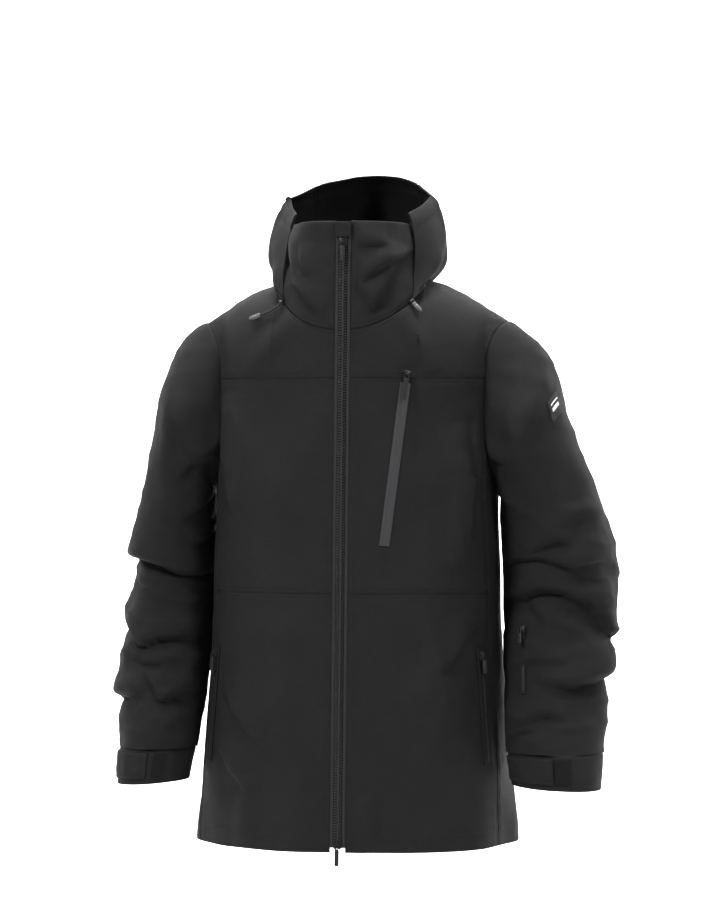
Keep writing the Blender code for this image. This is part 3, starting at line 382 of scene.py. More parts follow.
def scaled(tree, vector, scale):
    node = tree.nodes.new("ShaderNodeVectorMath")
    node.operation = "MULTIPLY"
    node.inputs[1].default_value = scale
    tree.links.new(vector, node.inputs[0])
    return node.outputs[0]


def ramp(tree, value, stops):
    node = tree.nodes.new("ShaderNodeValToRGB")
    elements = node.color_ramp.elements
    for element, (place, colour) in zip(elements, stops[:2]):
        element.position, element.color = place, (*colour, 1)
    for place, colour in stops[2:]:
        elements.new(place).color = (*colour, 1)
    tree.links.new(value, node.inputs[0])
    return node.outputs[0]


def material(name, rough, sheen=0.0, metallic=0.0, ior=1.45):
    made = bpy.data.materials.new(name)
    made.use_nodes = True
    shader = made.node_tree.nodes["Principled BSDF"]
    shader.inputs["Roughness"].default_value = rough
    shader.inputs["Metallic"].default_value = metallic
    shader.inputs["IOR"].default_value = ior
    shader.inputs["Sheen Weight"].default_value = sheen
    shader.inputs["Sheen Roughness"].default_value = 0.4
    return made, made.node_tree, shader


def bumped(tree, shader, height, strength, distance):
    bump = tree.nodes.new("ShaderNodeBump")
    bump.inputs["Strength"].default_value = strength
    bump.inputs["Distance"].default_value = distance
    link_all(tree, (height, bump.inputs["Height"]), (bump.outputs[0], shader.inputs["Normal"]))


def varied(colour, change):
    return tuple(max(0.0, c * change) for c in colour)


CLOTH_IOR, MOULDED_IOR = 1.22, 1.33  # low, so that the black parts stay as dull as in daylight


def uneven_roughness(tree, shader, colours, places, rough, below, above, span=(0.0, 1.0)):
    """Colour, and a roughness that wanders from below to above its mean with the given noise."""
    roughness = tree.nodes.new("ShaderNodeMapRange")
    roughness.inputs["From Min"].default_value, roughness.inputs["From Max"].default_value = span
    roughness.inputs["To Min"].default_value = rough - below
    roughness.inputs["To Max"].default_value = rough + above
    link_all(tree, (colours, shader.inputs["Base Color"]), (places, roughness.inputs["Value"]),
             (roughness.outputs[0], shader.inputs["Roughness"]))


def woven(name, colour, thread=0.0007, rough=0.72, sheen=0.0, slub=0.18, strength=0.7, twill=False):
    """Cloth woven from threads of a given width, on UVs in metres: threads, slubs and soft wear in the colour."""
    made, tree, shader = material(name, rough, sheen=sheen, ior=CLOTH_IOR)
    uv = tree.nodes.new("ShaderNodeUVMap").outputs[0]
    places = tree.nodes.new("ShaderNodeTexCoord").outputs["Object"]
    split = tree.nodes.new("ShaderNodeSeparateXYZ")
    tree.links.new(uv, split.inputs[0])
    across, up = split.outputs[0], split.outputs[1]
    turn = math.pi / thread
    if twill:
        up = math_node(tree, "ADD", up, math_node(tree, "MULTIPLY", across, 0.5))
    warp = math_node(tree, "SINE", math_node(tree, "MULTIPLY", across, turn))
    weft = math_node(tree, "SINE", math_node(tree, "MULTIPLY", up, turn))
    weave = math_node(tree, "MULTIPLY", warp, weft)
    long_slub = noise_node(tree, scaled(tree, uv, (1300, 60, 1)), 1.0, 2.0)
    cross_slub = noise_node(tree, scaled(tree, uv, (60, 1300, 1)), 1.0, 2.0)
    slubs = math_node(tree, "ADD", long_slub, cross_slub)
    height = math_node(tree, "ADD", math_node(tree, "MULTIPLY", weave, 0.35), slubs)
    patches = noise_node(tree, places, 14.0, 4.0)
    tone = math_node(tree, "ADD", math_node(tree, "MULTIPLY", slubs, 0.5), math_node(tree, "MULTIPLY", patches, 0.35))
    colours = ramp(tree, tone, ((0.45, varied(colour, 1 - slub)), (0.95, varied(colour, 1 + slub))))
    uneven_roughness(tree, shader, colours, patches, rough, 0.06, 0.06, (0.3, 0.7))
    bumped(tree, shader, height, strength, 0.0005)
    return made


def moulded(name, colour, rough=0.45, strength=0.25, metallic=0.0):
    """Moulded or cast surface with fine grain and uneven gloss."""
    made, tree, shader = material(name, rough, metallic=metallic, ior=MOULDED_IOR)
    places = tree.nodes.new("ShaderNodeTexCoord").outputs["Object"]
    fine = noise_node(tree, places, 900.0, 2.0)
    broad = noise_node(tree, places, 160.0, 3.0)
    colours = ramp(tree, broad, ((0.3, varied(colour, 0.86)), (0.7, varied(colour, 1.16))))
    uneven_roughness(tree, shader, colours, broad, rough, 0.08, 0.1)
    bumped(tree, shader, fine, strength, 0.0002)
    return made


SHELL = woven("shell_cloth", (0.0052, 0.0053, 0.0057), slub=0.34, strength=0.9)
LINING = woven("lining_taffeta", (0.0055, 0.0055, 0.0058), thread=0.0004, rough=0.55, slub=0.10, strength=0.2)
TRICOT = woven("brushed_tricot", (0.0050, 0.0050, 0.0053), thread=0.0011, rough=0.92, sheen=0.04, slub=0.20)
TAPE = woven("zip_tape", (0.0125, 0.0125, 0.0132), thread=0.0009, rough=0.65, strength=0.8, twill=True)
WELD = woven("welded_tape", (0.025, 0.025, 0.0265), thread=0.0006, rough=0.48, slub=0.08, strength=0.3)
THREAD = woven("sewing_thread", (0.0085, 0.0085, 0.0090), thread=0.0003, rough=0.6, strength=0.6, twill=True)
TEETH = moulded("zip_teeth_resin", (0.017, 0.017, 0.018), rough=0.30)
METAL = moulded("black_metal", (0.008, 0.008, 0.009), rough=0.30, metallic=0.2, strength=0.15)
RUBBER = moulded("pull_rubber", (0.0040, 0.0040, 0.0042), rough=0.55, strength=0.4)
CORD_END = moulded("cord_end_resin", (0.060, 0.060, 0.062), rough=0.42)
HOOK = woven("hook_patch", (0.0040, 0.0040, 0.0042), thread=0.0010, rough=0.95, sheen=0.04, slub=0.3, strength=1.0)
CORD = woven("braided_cord", (0.020, 0.020, 0.021), thread=0.0008, rough=0.7, strength=1.0, twill=True)
BADGE = woven("badge_weave", (0.013, 0.013, 0.014), thread=0.0005, rough=0.6, strength=0.5)
BADGE_MARK = woven("badge_mark", (0.62, 0.62, 0.63), thread=0.0005, rough=0.6, strength=0.5)


# --- cloth ---------------------------------------------------------------------------------------

GRID = 0.0042  # usual distance between the points of a panel
SEAM = 0.00012  # half the gap between two sewn panels
ALL_EDGES = ("u0", "u1", "v0", "v1")
EDGE_STITCH, HEM_STITCH = 0.0050, 0.0200  # distance of a row of stitches from its edge
EDGE_STATIONS = (0.0, 0.0009, 0.0020, 0.0032, 0.0043, 0.0050, 0.0057, 0.0068, 0.0085, 0.0115)
ROLL = tuple(math.radians(a) for a in (30, 60, 90, 120, 150))
SHARP_ANGLE = math.radians(62)


def stations(length, fine_low=True, fine_high=True, step=GRID):
    """Shares along a length, closer together next to the ends that are sewn."""
    low = list(EDGE_STATIONS) if fine_low else [0.0]
    high = [length - s for s in reversed(EDGE_STATIONS)] if fine_high else [length]
    count = max(1, round((high[0] - low[-1]) / step))
    middle = [mix(low[-1], high[0], i / count) for i in range(1, count)]
    return [s / length for s in low + middle + high]


def steps(count, first=0.0, last=1.0):
    return [mix(first, last, i / count) for i in range(count + 1)]


def bell(x, middle, width):
    return np.exp(-((x - middle) / width) ** 2)


def smooth(t):
    t = np.clip(t, 0, 1)
    return t * t * (3 - 2 * t)


def soft_noise(points, scale, seed):
    """Smooth noise from -1 to 1 at each point."""
    flat = points.reshape(-1, 3) / scale
    found = [noise.noise(Vector((x + seed, y - seed, z + seed * 0.5))) for x, y, z in flat]
    return np.array(found).reshape(points.shape[:-1])


def noises(P, *layers):
    """Sum of soft noises given as (scale, seed, amount)."""
    return sum(soft_noise(P, scale, seed) * amount for scale, seed, amount in layers)


def along_line(a, b, line):
    """Signed distance of each (a, b) to a line through points, and the share along it."""
    spans = [math.dist(p, q) for p, q in zip(line, line[1:])]
    total = sum(spans)
    best = np.full(a.shape, 1e9)
    signed, share = np.zeros(a.shape), np.zeros(a.shape)
    done = 0.0
    for (p, q), span in zip(zip(line, line[1:]), spans):
        dx, dy = (q[0] - p[0]) / span, (q[1] - p[1]) / span
        t = np.clip((a - p[0]) * dx + (b - p[1]) * dy, 0, span)
        off_x, off_y = a - p[0] - dx * t, b - p[1] - dy * t
        distance = np.hypot(off_x, off_y)
        closer = distance < best
        side = np.where(dx * off_y - dy * off_x >= 0, 1.0, -1.0) * (1 if dx >= 0 else -1)
        best = np.where(closer, distance, best)
        signed = np.where(closer, distance * side, signed)
        share = np.where(closer, (done + t) / total, share)
        done += span
    return signed, share


def smooth_line(points, count=7):
    """A curve through the points of a fold."""
    last = len(points) - 1
    return [tuple(catmull([p[k] for p in points], last * i / (count * last)) for k in (0, 1))
            for i in range(count * last + 1)]


CREASE_VALLEY, CREASE_RISE, FULL_SIDE = 0.0028, 0.0040, 0.0290


def folds(a, b, lines):
    """Height of a set of folds. A crease is a valley between two full sides; the upper side hangs over it."""
    height = np.zeros(a.shape)
    for kind, points, depth, width in lines:
        d, t = along_line(a, b, smooth_line(points))
        fade = np.sin(np.pi * np.clip(t, 0.0, 1.0)) ** 0.6
        near = np.abs(d) / width
        if kind == "crease":
            full_side = 1.15 * (1 - np.exp(-np.abs(d) / CREASE_RISE)) * bell(d, 0, FULL_SIDE)
            above = -np.exp(-np.abs(d) / CREASE_VALLEY) + full_side
            below = -np.exp(-near / 1.5) + 0.20 * bell(near, 3.4, 1.2)
            height += fade * depth * np.where(d >= 0, above, below)
        else:
            height += fade * depth * np.exp(-near ** 2)
    return height


def seam_relief(SU, SV, edges, depth=0.0008):
    """Pinch, full side and puckers next to the sewn edges of a panel."""
    height = np.zeros(SU.shape)
    ends = {"u0": (SU, SV), "u1": (SU[:, -1:] - SU, SV), "v0": (SV, SU), "v1": (SV[-1:, :] - SV, SU)}
    for name in edges:
        away, along = ends[name]
        pucker = 0.75 + 0.25 * np.sin(along * 2 * math.pi / 0.023 + 2.2 * np.sin(along * 31))
        height -= depth * bell(away, 0, 0.0014)
        height += 0.45 * depth * bell(away, 0.0098, 0.0050) * pucker
        height -= 0.00042 * bell(away, 0.0050, 0.0009)
        height += 0.00055 * (pucker - 0.75) * 4 * bell(away, 0.012, 0.010) * 0.5
    return height


def grid_normals(P, hand, loop):
    if loop:
        du = np.roll(P, -1, axis=1) - np.roll(P, 1, axis=1)
    else:
        du = np.gradient(P, axis=1)
    normal = np.cross(du, np.gradient(P, axis=0)) * hand
    return normal / (np.linalg.norm(normal, axis=2, keepdims=True) + 1e-12)


def arc_lengths(P, loop):
    SU = np.zeros(P.shape[:2])
    SU[:, 1:] = np.cumsum(np.linalg.norm(np.diff(P, axis=1), axis=2), axis=1)
    SV = np.zeros(P.shape[:2])
    SV[1:, :] = np.cumsum(np.linalg.norm(np.diff(P, axis=0), axis=2), axis=0)
    return SU, SV


def linked(name, data):
    obj = bpy.data.objects.new(name, data)
    bpy.context.scene.collection.objects.link(obj)
    return obj


def quads(rings, size, start=0, around=True, closed=True):
    """Faces between rings of points; around joins each ring's own ends, and closed the last ring to the first."""
    faces = []
    for i in range(rings if closed else rings - 1):
        k = (i + 1) % rings
        for j in range(size if around else size - 1):
            m = (j + 1) % size
            faces.append((start + i * size + j, start + i * size + m, start + k * size + m, start + k * size + j))
    return faces


def at_length(lengths, place):
    """The interval of rising lengths that holds a place, and the share along it."""
    k = int(np.clip(np.searchsorted(lengths, place), 1, len(lengths) - 1))
    return k, (place - lengths[k - 1]) / (lengths[k] - lengths[k - 1] + 1e-12)


def finish_mesh(name, verts, faces, materials, uvs=None, indices=None):
    mesh = bpy.data.meshes.new(name)
    mesh.from_pydata([tuple(v) for v in verts], [], faces)
    if uvs is not None:
        layer = mesh.uv_layers.new(name="UVMap")
        loops = np.zeros(len(mesh.loops), dtype=np.int32)
        mesh.loops.foreach_get("vertex_index", loops)
        layer.data.foreach_set("uv", np.asarray(uvs, dtype=np.float32)[loops].ravel())
    for made in materials:
        mesh.materials.append(made)
    if indices is not None:
        mesh.polygons.foreach_set("material_index", np.asarray(indices, dtype=np.int32))
    made = bmesh.new()
    made.from_mesh(mesh)
    bmesh.ops.recalc_face_normals(made, faces=made.faces)
    made.to_mesh(mesh)
    made.free()
    mesh.shade_smooth()
    mesh.set_sharp_from_angle(angle=SHARP_ANGLE)
    mesh.update()
    return linked(name, mesh)


PANELS = {}  # each finished panel's points, normals and lengths across and up, for stitches and coils


def cloth(name, surface, us, vs, hand=1, loop=False, wall=0.0030, depth=0.0, lift=None, edges=(), rolled=(),
          materials=(SHELL, LINING), seam_depth=0.0008):
    """A closed cloth panel over a surface: folds and seams on the outside, a wall, and rolled free edges."""
    P = np.array([[surface(u, v) for u in us] for v in vs], dtype=float)
    N = grid_normals(P, hand, loop)
    SU, SV = arc_lengths(P, loop)
    height = seam_relief(SU, SV, edges, seam_depth)
    if lift is not None:
        U, V = np.meshgrid(us, vs)
        height = height + lift(P, SU, SV, U, V)
    outer = P + N * (height - depth)[..., None]
    N = grid_normals(outer, hand, loop)
    inner = outer - N * wall
    PANELS[name] = (outer, N, SU, SV)
    size, half = len(vs), wall / 2

    def roll(edge, before, normal):
        out = edge - before
        out /= np.linalg.norm(out, axis=1, keepdims=True) + 1e-12
        return [edge - normal * half + normal * (half * math.cos(a)) + out * (half * math.sin(a)) for a in ROLL]

    top = roll(outer[-1], outer[-2], N[-1]) if "v1" in rolled else []
    bottom = roll(outer[0], outer[1], N[0])[::-1] if "v0" in rolled else []
    ring = [*outer] + top + [*inner[::-1]] + bottom
    heights = [*SV] + [SV[-1]] * len(top) + [*SV[::-1]] + [SV[0]] * len(bottom)
    widths = [*SU] + [SU[-1]] * len(top) + [*SU[::-1]] + [SU[0]] * len(bottom)
    count, columns = len(ring), len(us)
    uvs = np.stack([np.concatenate(widths), np.concatenate(heights)], axis=1)
    faces = quads(count, columns, around=loop)
    # The second material covers the inside, up to the rolled edges.
    inner_from = size + len(top) - 1
    inner_to = 2 * size + len(top) - (2 if bottom else 1)
    indices = []
    for i in range(count):
        inside = int(len(materials) > 1 and inner_from <= i <= inner_to)
        indices += [inside] * (columns if loop else columns - 1)
    if not loop:
        for j in (0, columns - 1):
            for i in range(size - 1):
                other = size + len(top) + (size - 1 - i)
                faces.append((i * columns + j, (i + 1) * columns + j, (other - 1) * columns + j, other * columns + j))
            for chain, first, last in ((top, size - 1, size + len(top)), (bottom, 2 * size + len(top) - 1, count)):
                if chain:
                    faces.append(tuple(r % count * columns + j for r in range(first, last + 1)))
        indices += [0] * (len(faces) - len(indices))
    return finish_mesh(name, np.concatenate(ring), faces, materials, uvs, indices)


def on_body(obj, *nodes, body="jacket", slot="shell"):
    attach(obj, body)
    if nodes:
        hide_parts(*nodes)
    return obj


STITCH, STITCH_PITCH, STITCH_MARGIN = 0.0026, 0.0038, 0.004
THREAD_PROFILE = ((1, 0), (0.5, 0.9), (-0.5, 0.9), (-1, 0))


def stitching(name, panel, edge, distance, body="jacket"):
    """A row of stitches on a panel, a distance in from one of its edges."""
    lines, normals, SU, SV = PANELS[panel]
    lengths = SV
    if edge in ("u0", "u1"):
        lines, normals, lengths = np.swapaxes(lines, 0, 1), np.swapaxes(normals, 0, 1), SU.T
    if edge in ("u1", "v1"):
        lines, normals, lengths = lines[::-1], normals[::-1], (lengths[-1:, :] - lengths)[::-1]
    path, ups = [], []
    for j in range(lines.shape[1]):
        k, t = at_length(lengths[:, j], distance)
        path.append(lines[k - 1, j] * (1 - t) + lines[k, j] * t)
        ups.append(normals[k - 1, j])
    along = np.concatenate([[0], np.cumsum(np.linalg.norm(np.diff(path, axis=0), axis=1))])
    verts, faces = [], []
    place = STITCH_MARGIN
    while place + STITCH < along[-1] - STITCH_MARGIN:
        ends = []
        for share in (0, 0.25, 0.75, 1):
            k, t = at_length(along, place + STITCH * share)
            ends.append((path[k - 1] * (1 - t) + path[k] * t, ups[k - 1]))
        direction = ends[-1][0] - ends[0][0]
        direction = direction / (np.linalg.norm(direction) + 1e-12)
        start = len(verts)
        for (point, up), size in zip(ends, (0.25, 1.0, 1.0, 0.25)):
            side = np.cross(direction, up)
            for x, y in THREAD_PROFILE:
                verts.append(point + side * (0.00024 * size * x) + up * (0.00030 * size * y - 0.00005))
        faces += quads(4, 4, start, closed=False)
        faces += [(start, start + 1, start + 2, start + 3), (start + 12, start + 15, start + 14, start + 13)]
        place += STITCH_PITCH
    return on_body(finish_mesh(name, verts, faces, (THREAD,), np.zeros((len(verts), 2))), body=body)


# --- drape of the body ---------------------------------------------------------------------------

FRONT_FOLDS = (
    ("ridge", ((-0.158, -0.15), (-0.150, -0.22), (-0.146, -0.31)), 0.0040, 0.016),
    ("crease", ((-0.170, -0.17), (-0.163, -0.24), (-0.160, -0.30)), 0.0022, 0.010),
    ("ridge", ((0.146, -0.19), (0.150, -0.28), (0.148, -0.38)), 0.0042, 0.015),
    ("crease", ((0.162, -0.18), (0.166, -0.26), (0.163, -0.34)), 0.0022, 0.010),
    ("ridge", ((0.110, -0.42), (0.116, -0.53), (0.112, -0.66)), 0.0030, 0.020),
    ("crease", ((-0.170, -0.53), (-0.140, -0.575), (-0.100, -0.600)), 0.0020, 0.012),
    ("crease", ((-0.175, -0.60), (-0.150, -0.640), (-0.118, -0.668)), 0.0020, 0.012),
    ("ridge", ((-0.070, -0.43), (-0.074, -0.52), (-0.066, -0.62)), 0.0024, 0.020),
    ("ridge", ((0.052, -0.03), (0.090, -0.075), (0.118, -0.125)), 0.0026, 0.014),
    ("ridge", ((-0.060, -0.05), (-0.095, -0.085), (-0.120, -0.125)), 0.0022, 0.014),
    ("crease", ((0.172, -0.45), (0.150, -0.49), (0.120, -0.51)), 0.0018, 0.012),
    ("ridge", ((0.030, -0.66), (0.034, -0.70), (0.040, -0.74)), 0.0030, 0.018),
    ("ridge", ((-0.120, -0.64), (-0.126, -0.69), (-0.130, -0.74)), 0.0032, 0.018),
)
BACK_FOLDS = (
    ("ridge", ((-0.120, -0.18), (-0.105, -0.30), (-0.112, -0.42)), 0.0045, 0.018),
    ("ridge", ((0.118, -0.17), (0.108, -0.29), (0.116, -0.40)), 0.0045, 0.018),
    ("ridge", ((-0.045, -0.42), (-0.052, -0.56), (-0.048, -0.74)), 0.0045, 0.022),
    ("ridge", ((0.070, -0.45), (0.064, -0.60), (0.072, -0.74)), 0.0045, 0.022),
    ("crease", ((-0.100, -0.395), (-0.040, -0.412), (0.020, -0.405)), 0.0030, 0.010),
    ("crease", ((0.000, -0.445), (0.060, -0.430), (0.115, -0.440)), 0.0026, 0.010),
    ("crease", ((-0.150, -0.20), (-0.120, -0.235), (-0.085, -0.25)), 0.0024, 0.010),
    ("crease", ((0.150, -0.20), (0.122, -0.238), (0.090, -0.255)), 0.0024, 0.010),
)


DRAPE_DEPTH, SWELL = 2.4, 0.0052  # times the folds' depths; height of the broad swelling
HEM_WAVE_HEIGHT = 0.10


def drape(P, SU, SV, U, V):
    """Folds, swelling and a wavy hem; calm next to the zips, and flatter beside the sleeves."""
    x, y, z = P[..., 0], P[..., 1], P[..., 2]
    front = np.clip((0.02 - y) / 0.05, 0, 1)
    a = x + 0.006 * soft_noise(P, 0.07, 3.0)
    height = (folds(a, z, FRONT_FOLDS) * front + folds(a, z, BACK_FOLDS) * (1 - front)) * DRAPE_DEPTH
    swell = noises(P, (0.085, 1.0, SWELL), (0.035, 5.0, 0.0007), (0.012, 7.0, 0.00018))
    hem = np.clip((HEM_Z + HEM_WAVE_HEIGHT - z) / HEM_WAVE_HEIGHT, 0, 1)
    around = np.arctan2(x, -y)
    height = height + swell + hem * 0.0028 * np.sin(around * 9 + 1.2 * np.sin(around * 4))
    calm = np.where(y < 0, smooth((np.abs(x) - 0.0100) / 0.035), 1.0)
    beside = np.clip((np.abs(x) - 0.160) / 0.020, 0, 1) * np.clip((z + 0.67) / 0.02, 0, 1)
    height = height * calm * near_zips(P)
    return np.clip(np.where(height > 0, height * (1 - 0.95 * beside), height * (1 - 0.5 * beside)), -0.0035, 0.0080)


def front_part(low_z, high_z):
    def surface(u, v):
        z = mix(low_z, high_z, v)
        start = body_angle(ZIP_EDGE + ZIP_GAP, z)
        return body(mix(start, side_seam_angle(z) - SEAM / half_width(z), u), z)
    return surface


def back_part(u, v):
    z = mix(HEM_Z, YOKE_Z - SEAM, v)
    edge = math.pi - side_seam_angle(z) + SEAM / half_width(z)
    return body(mix(edge, 2 * math.pi - edge, u), z)


def side_part(u, v):
    start = side_seam_angle(ARMHOLE_CORNER_Z)
    top = armhole_bottom(mix(start, math.pi - start, u)) - SEAM
    z = mix(HEM_Z, top, v)
    edge = side_seam_angle(z) + SEAM / half_width(z)
    return body(mix(edge, math.pi - edge, u), z)


def yoke_part(front, first_x):
    def surface(u, v):
        inner = mix(first_x, NECK_HALF_WIDTH, min(1.0, 2 * u))
        half = yoke_squareness(inner, front) / 2
        start = math.asin((SEAM / (ridge(inner) - YOKE_Z)) ** half) / (QUARTER)
        end = (neckline_turn(inner, front) if u < 0.5 else 1.0) - SEAM / FRONT_DEPTH
        turn = mix(start ** (1 / half), end ** (1 / half), v) ** half
        if u <= 0.5:
            return yoke_point(inner, turn, front)
        return yoke_point(mix(NECK_HALF_WIDTH, armhole_edge_x(turn) - SEAM, 2 * u - 1), turn, front)
    return surface


def yoke_columns(fine_low):
    half = [math.sin(QUARTER * i / 26) / 2 for i in range(27)]
    outer = [0.5 + s / 2 for s in stations(0.085, False, True)][1:]
    start = [s / 0.19 for s in EDGE_STATIONS[1:]] if fine_low else []
    return sorted(set([0.0] + start + [u for u in half if not start or u > start[-1] + 0.012] + outer))


def body_pieces():
    for part, low_z, high_z, edges, rolled in (
            ("panel", WAIST_Z + SEAM, YOKE_Z - SEAM, ALL_EDGES, ()),
            ("skirt", HEM_Z, WAIST_Z - SEAM, ("u0", "u1", "v1"), ("v0",))):
        surface = front_part(low_z, high_z)
        for side, sign in SIDES:
            name = f"shell_front_{side}_{part}"
            obj = cloth(name, sided(surface, sign), stations(0.20), stations(high_z - low_z), hand=sign, lift=drape,
                        edges=edges, rolled=rolled)
            on_body(obj, f"front_{side}_{part}")
            stitching(f"stitch_front_{side}_{part}_zip", name, "u0", EDGE_STITCH)
            if part == "panel":
                stitching(f"stitch_front_{side}_yoke_seam", name, "v1", EDGE_STITCH)
                stitching(f"stitch_front_{side}_waist_seam", name, "v0", EDGE_STITCH)
            else:
                stitching(f"stitch_front_{side}_hem", name, "v0", HEM_STITCH)
    for side, sign in SIDES:
        obj = cloth(f"shell_front_{side}_yoke", sided(yoke_part(True, ZIP_EDGE + ZIP_GAP), sign), yoke_columns(True),
                    stations(0.075, step=0.0040), hand=sign, lift=drape, edges=ALL_EDGES)
        on_body(obj, f"front_{side}_yoke")
        obj = cloth(f"shell_side_{side}", sided(side_part, sign), stations(0.155), stations(0.47, False, True),
                    hand=sign, lift=drape, edges=("u0", "u1", "v1"), rolled=("v0",))
        on_body(obj, f"side_panel_{side}")
        stitching(f"stitch_side_{side}_hem", f"shell_side_{side}", "v0", HEM_STITCH)
    obj = cloth("shell_back_panel", back_part, stations(0.44), stations(0.60, False, True), lift=drape,
                edges=("u0", "u1", "v1"), rolled=("v0",))
    on_body(obj, "back_panel")
    stitching("stitch_back_hem", "shell_back_panel", "v0", HEM_STITCH)
    stitching("stitch_back_yoke_seam", "shell_back_panel", "v1", EDGE_STITCH)
    half_back = yoke_part(False, 0.0)

    def back_yoke(u, v):
        across = 2 * u - 1
        point = half_back(abs(across), v)
        return Vector((-math.copysign(point.x, across), point.y, point.z))
    half = yoke_columns(False)
    columns = [(1 - u) / 2 for u in reversed(half)] + [(1 + u) / 2 for u in half[1:]]
    obj = cloth("shell_back_yoke", back_yoke, columns, stations(0.16), lift=drape, edges=ALL_EDGES)
    on_body(obj, "back_yoke")


# --- collar and hood -----------------------------------------------------------------------------

COLLAR_FOLDS = (
    ("crease", ((0.082, 0.036), (0.066, 0.004), (0.052, -0.022), (0.036, -0.054)), 0.0052, 0.0075),
    ("crease", ((0.080, 0.022), (0.060, 0.014), (0.040, 0.002), (0.020, -0.012)), 0.0044, 0.0070),
    ("crease", ((0.000, 0.042), (0.026, 0.037), (0.056, 0.038)), 0.0030, 0.0070),
    ("crease", ((-0.002, -0.006), (0.018, -0.022), (0.040, -0.046)), 0.0040, 0.0070),
    ("crease", ((-0.094, 0.060), (-0.082, 0.026), (-0.066, -0.008)), 0.0046, 0.0080),
    ("crease", ((-0.072, -0.008), (-0.052, -0.030), (-0.030, -0.056)), 0.0042, 0.0075),
    ("crease", ((-0.060, 0.044), (-0.058, 0.016), (-0.044, -0.006)), 0.0026, 0.0070),
)


def collar_surface(u, v):
    height = mix(0.0003 / (COLLAR_TOP_Z + NECK_FRONT_DROP), 1.0, v)
    start = math.asin((ZIP_EDGE + ZIP_GAP) / mix(NECK_HALF_WIDTH, COLLAR_TOP_HALF_WIDTH, height))
    start_top = math.asin(((ZIP_EDGE + ZIP_GAP) / COLLAR_TOP_HALF_WIDTH) ** (COLLAR_SQUARENESS / 2))
    first = mix(start, start_top, height) + 0.002
    angle = mix(first, math.pi - 0.0006 / NECK_HALF_WIDTH, u)
    foot = neckline(angle)
    inset = 0.0010 * (abs(math.sin(angle)) if math.cos(angle) > 0 else 1)
    foot -= Vector((math.sin(angle), -math.cos(angle), 0)) * inset
    return foot.lerp(collar_top(angle), height)


def collar_lift(P, SU, SV, U, V):
    """Slanting folds of the collar's front, calm next to the zip."""
    x, y, z = P[..., 0], P[..., 1], P[..., 2]
    front = np.clip((-0.02 - y) / 0.03, 0, 1)
    warp = 0.004 * soft_noise(P, 0.04, 2.0)
    height = folds(x + warp, z, COLLAR_FOLDS) * front * 1.25
    height = height + noises(P, (0.045, 4.0, 0.0022), (0.015, 6.0, 0.0004))
    calm = np.where(y < -0.05, smooth((np.abs(x) - 0.0100) / 0.016), 1.0)
    return np.clip(height * calm, -0.0050, 0.0085)


def hood_lift(P, SU, SV, U, rise):
    """Slack folds low down on the hood and the casing of its cord along the rim."""
    height = noises(P, (0.060, 8.0, 0.0030), (0.026, 9.0, 0.0010), (0.010, 3.0, 0.0002))
    x, y = P[..., 0], P[..., 1]
    slack = 0.0030 * bell(rise, 0.30, 0.16)
    height = height + slack * np.sin(np.arctan2(x, -y) * 11 + 2.0 * soft_noise(P, 0.08, 11.0))
    from_rim = SV[-1:, :] - SV
    height = height - 0.0007 * bell(from_rim, CASING, 0.0022) + 0.0008 * bell(from_rim, CASING / 2, 0.0065)
    front = np.clip((-0.02 - y) / 0.04, 0, 1)
    return np.clip(height * (1 - 0.45 * front), -0.0030, 0.0045)


CASING = 0.0210  # width of the cord's casing
HOOD_TUCK = 0.06  # share of the hood's height that goes down into its seam
HOOD_EDGE_ANGLE = math.radians(58)


def collar_and_hood():
    for side, sign in SIDES:
        name = f"shell_collar_{side}"
        obj = cloth(name, sided(collar_surface, sign), stations(0.215, step=0.0036),
                    stations(0.135, True, False, step=0.0036), hand=sign, wall=0.0038, lift=collar_lift,
                    edges=("u0", "v0"), rolled=("v1",), materials=(SHELL, TRICOT))
        on_body(obj, f"collar_{side}")
        stitching(f"stitch_collar_{side}_top", name, "v1", 0.0060)
        stitching(f"stitch_collar_{side}_zip", name, "u0", EDGE_STITCH)
    seam = SEAM / HOOD_SIDE_REACH

    def tucked(angle, v):
        snug = 1 - ease((angle - HOOD_EDGE_ANGLE) / math.radians(14))
        if v >= 0:
            return hood(angle, v, snug)
        foot = neckline(hood_foot(angle)[1]) + Vector((0, 0, 0.0005))
        return hood(angle, 0, snug).lerp(foot, ease(-v / HOOD_TUCK) ** 0.8)

    def hood_side(u, v):
        return tucked(mix(HOOD_EDGE_ANGLE, HOOD_SEAM_ANGLE - seam, u), mix(-HOOD_TUCK, 1, v))

    def hood_middle(u, v):
        edge = HOOD_SEAM_ANGLE + seam
        angle = mix(edge, 2 * math.pi - edge, u)
        v = mix(-HOOD_TUCK, 1, v)
        if angle <= math.pi:
            return tucked(angle, v)
        return mirrored(tucked(2 * math.pi - angle, v))

    pieces = []
    for side, sign in SIDES:
        obj = cloth(f"shell_hood_{side}", sided(hood_side, sign), stations(0.19, False, True),
                    stations(0.21, False, False), hand=sign, lift=hood_lift, edges=("u1",), rolled=("v0", "v1"))
        pieces.append((obj, f"hood_side_{side}"))
    obj = cloth("shell_hood_centre", hood_middle, stations(0.20), stations(0.26, False, False), lift=hood_lift,
                edges=("u0", "u1"), rolled=("v0", "v1"))
    pieces.append((obj, "hood_centre_panel"))
    for obj, node in pieces:
        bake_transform(obj)
        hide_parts(node)
    for part, edge, distance in (("left", "v1", CASING), ("right", "v1", CASING), ("centre", "v1", CASING),
                                 ("centre", "u0", EDGE_STITCH), ("centre", "u1", EDGE_STITCH)):
        thread = stitching(f"stitch_hood_{part}_{edge}", f"shell_hood_{part}", edge, distance, "hood")
        thread.parent = None
        del thread["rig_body"]
        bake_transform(thread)


# --- sleeves -------------------------------------------------------------------------------------

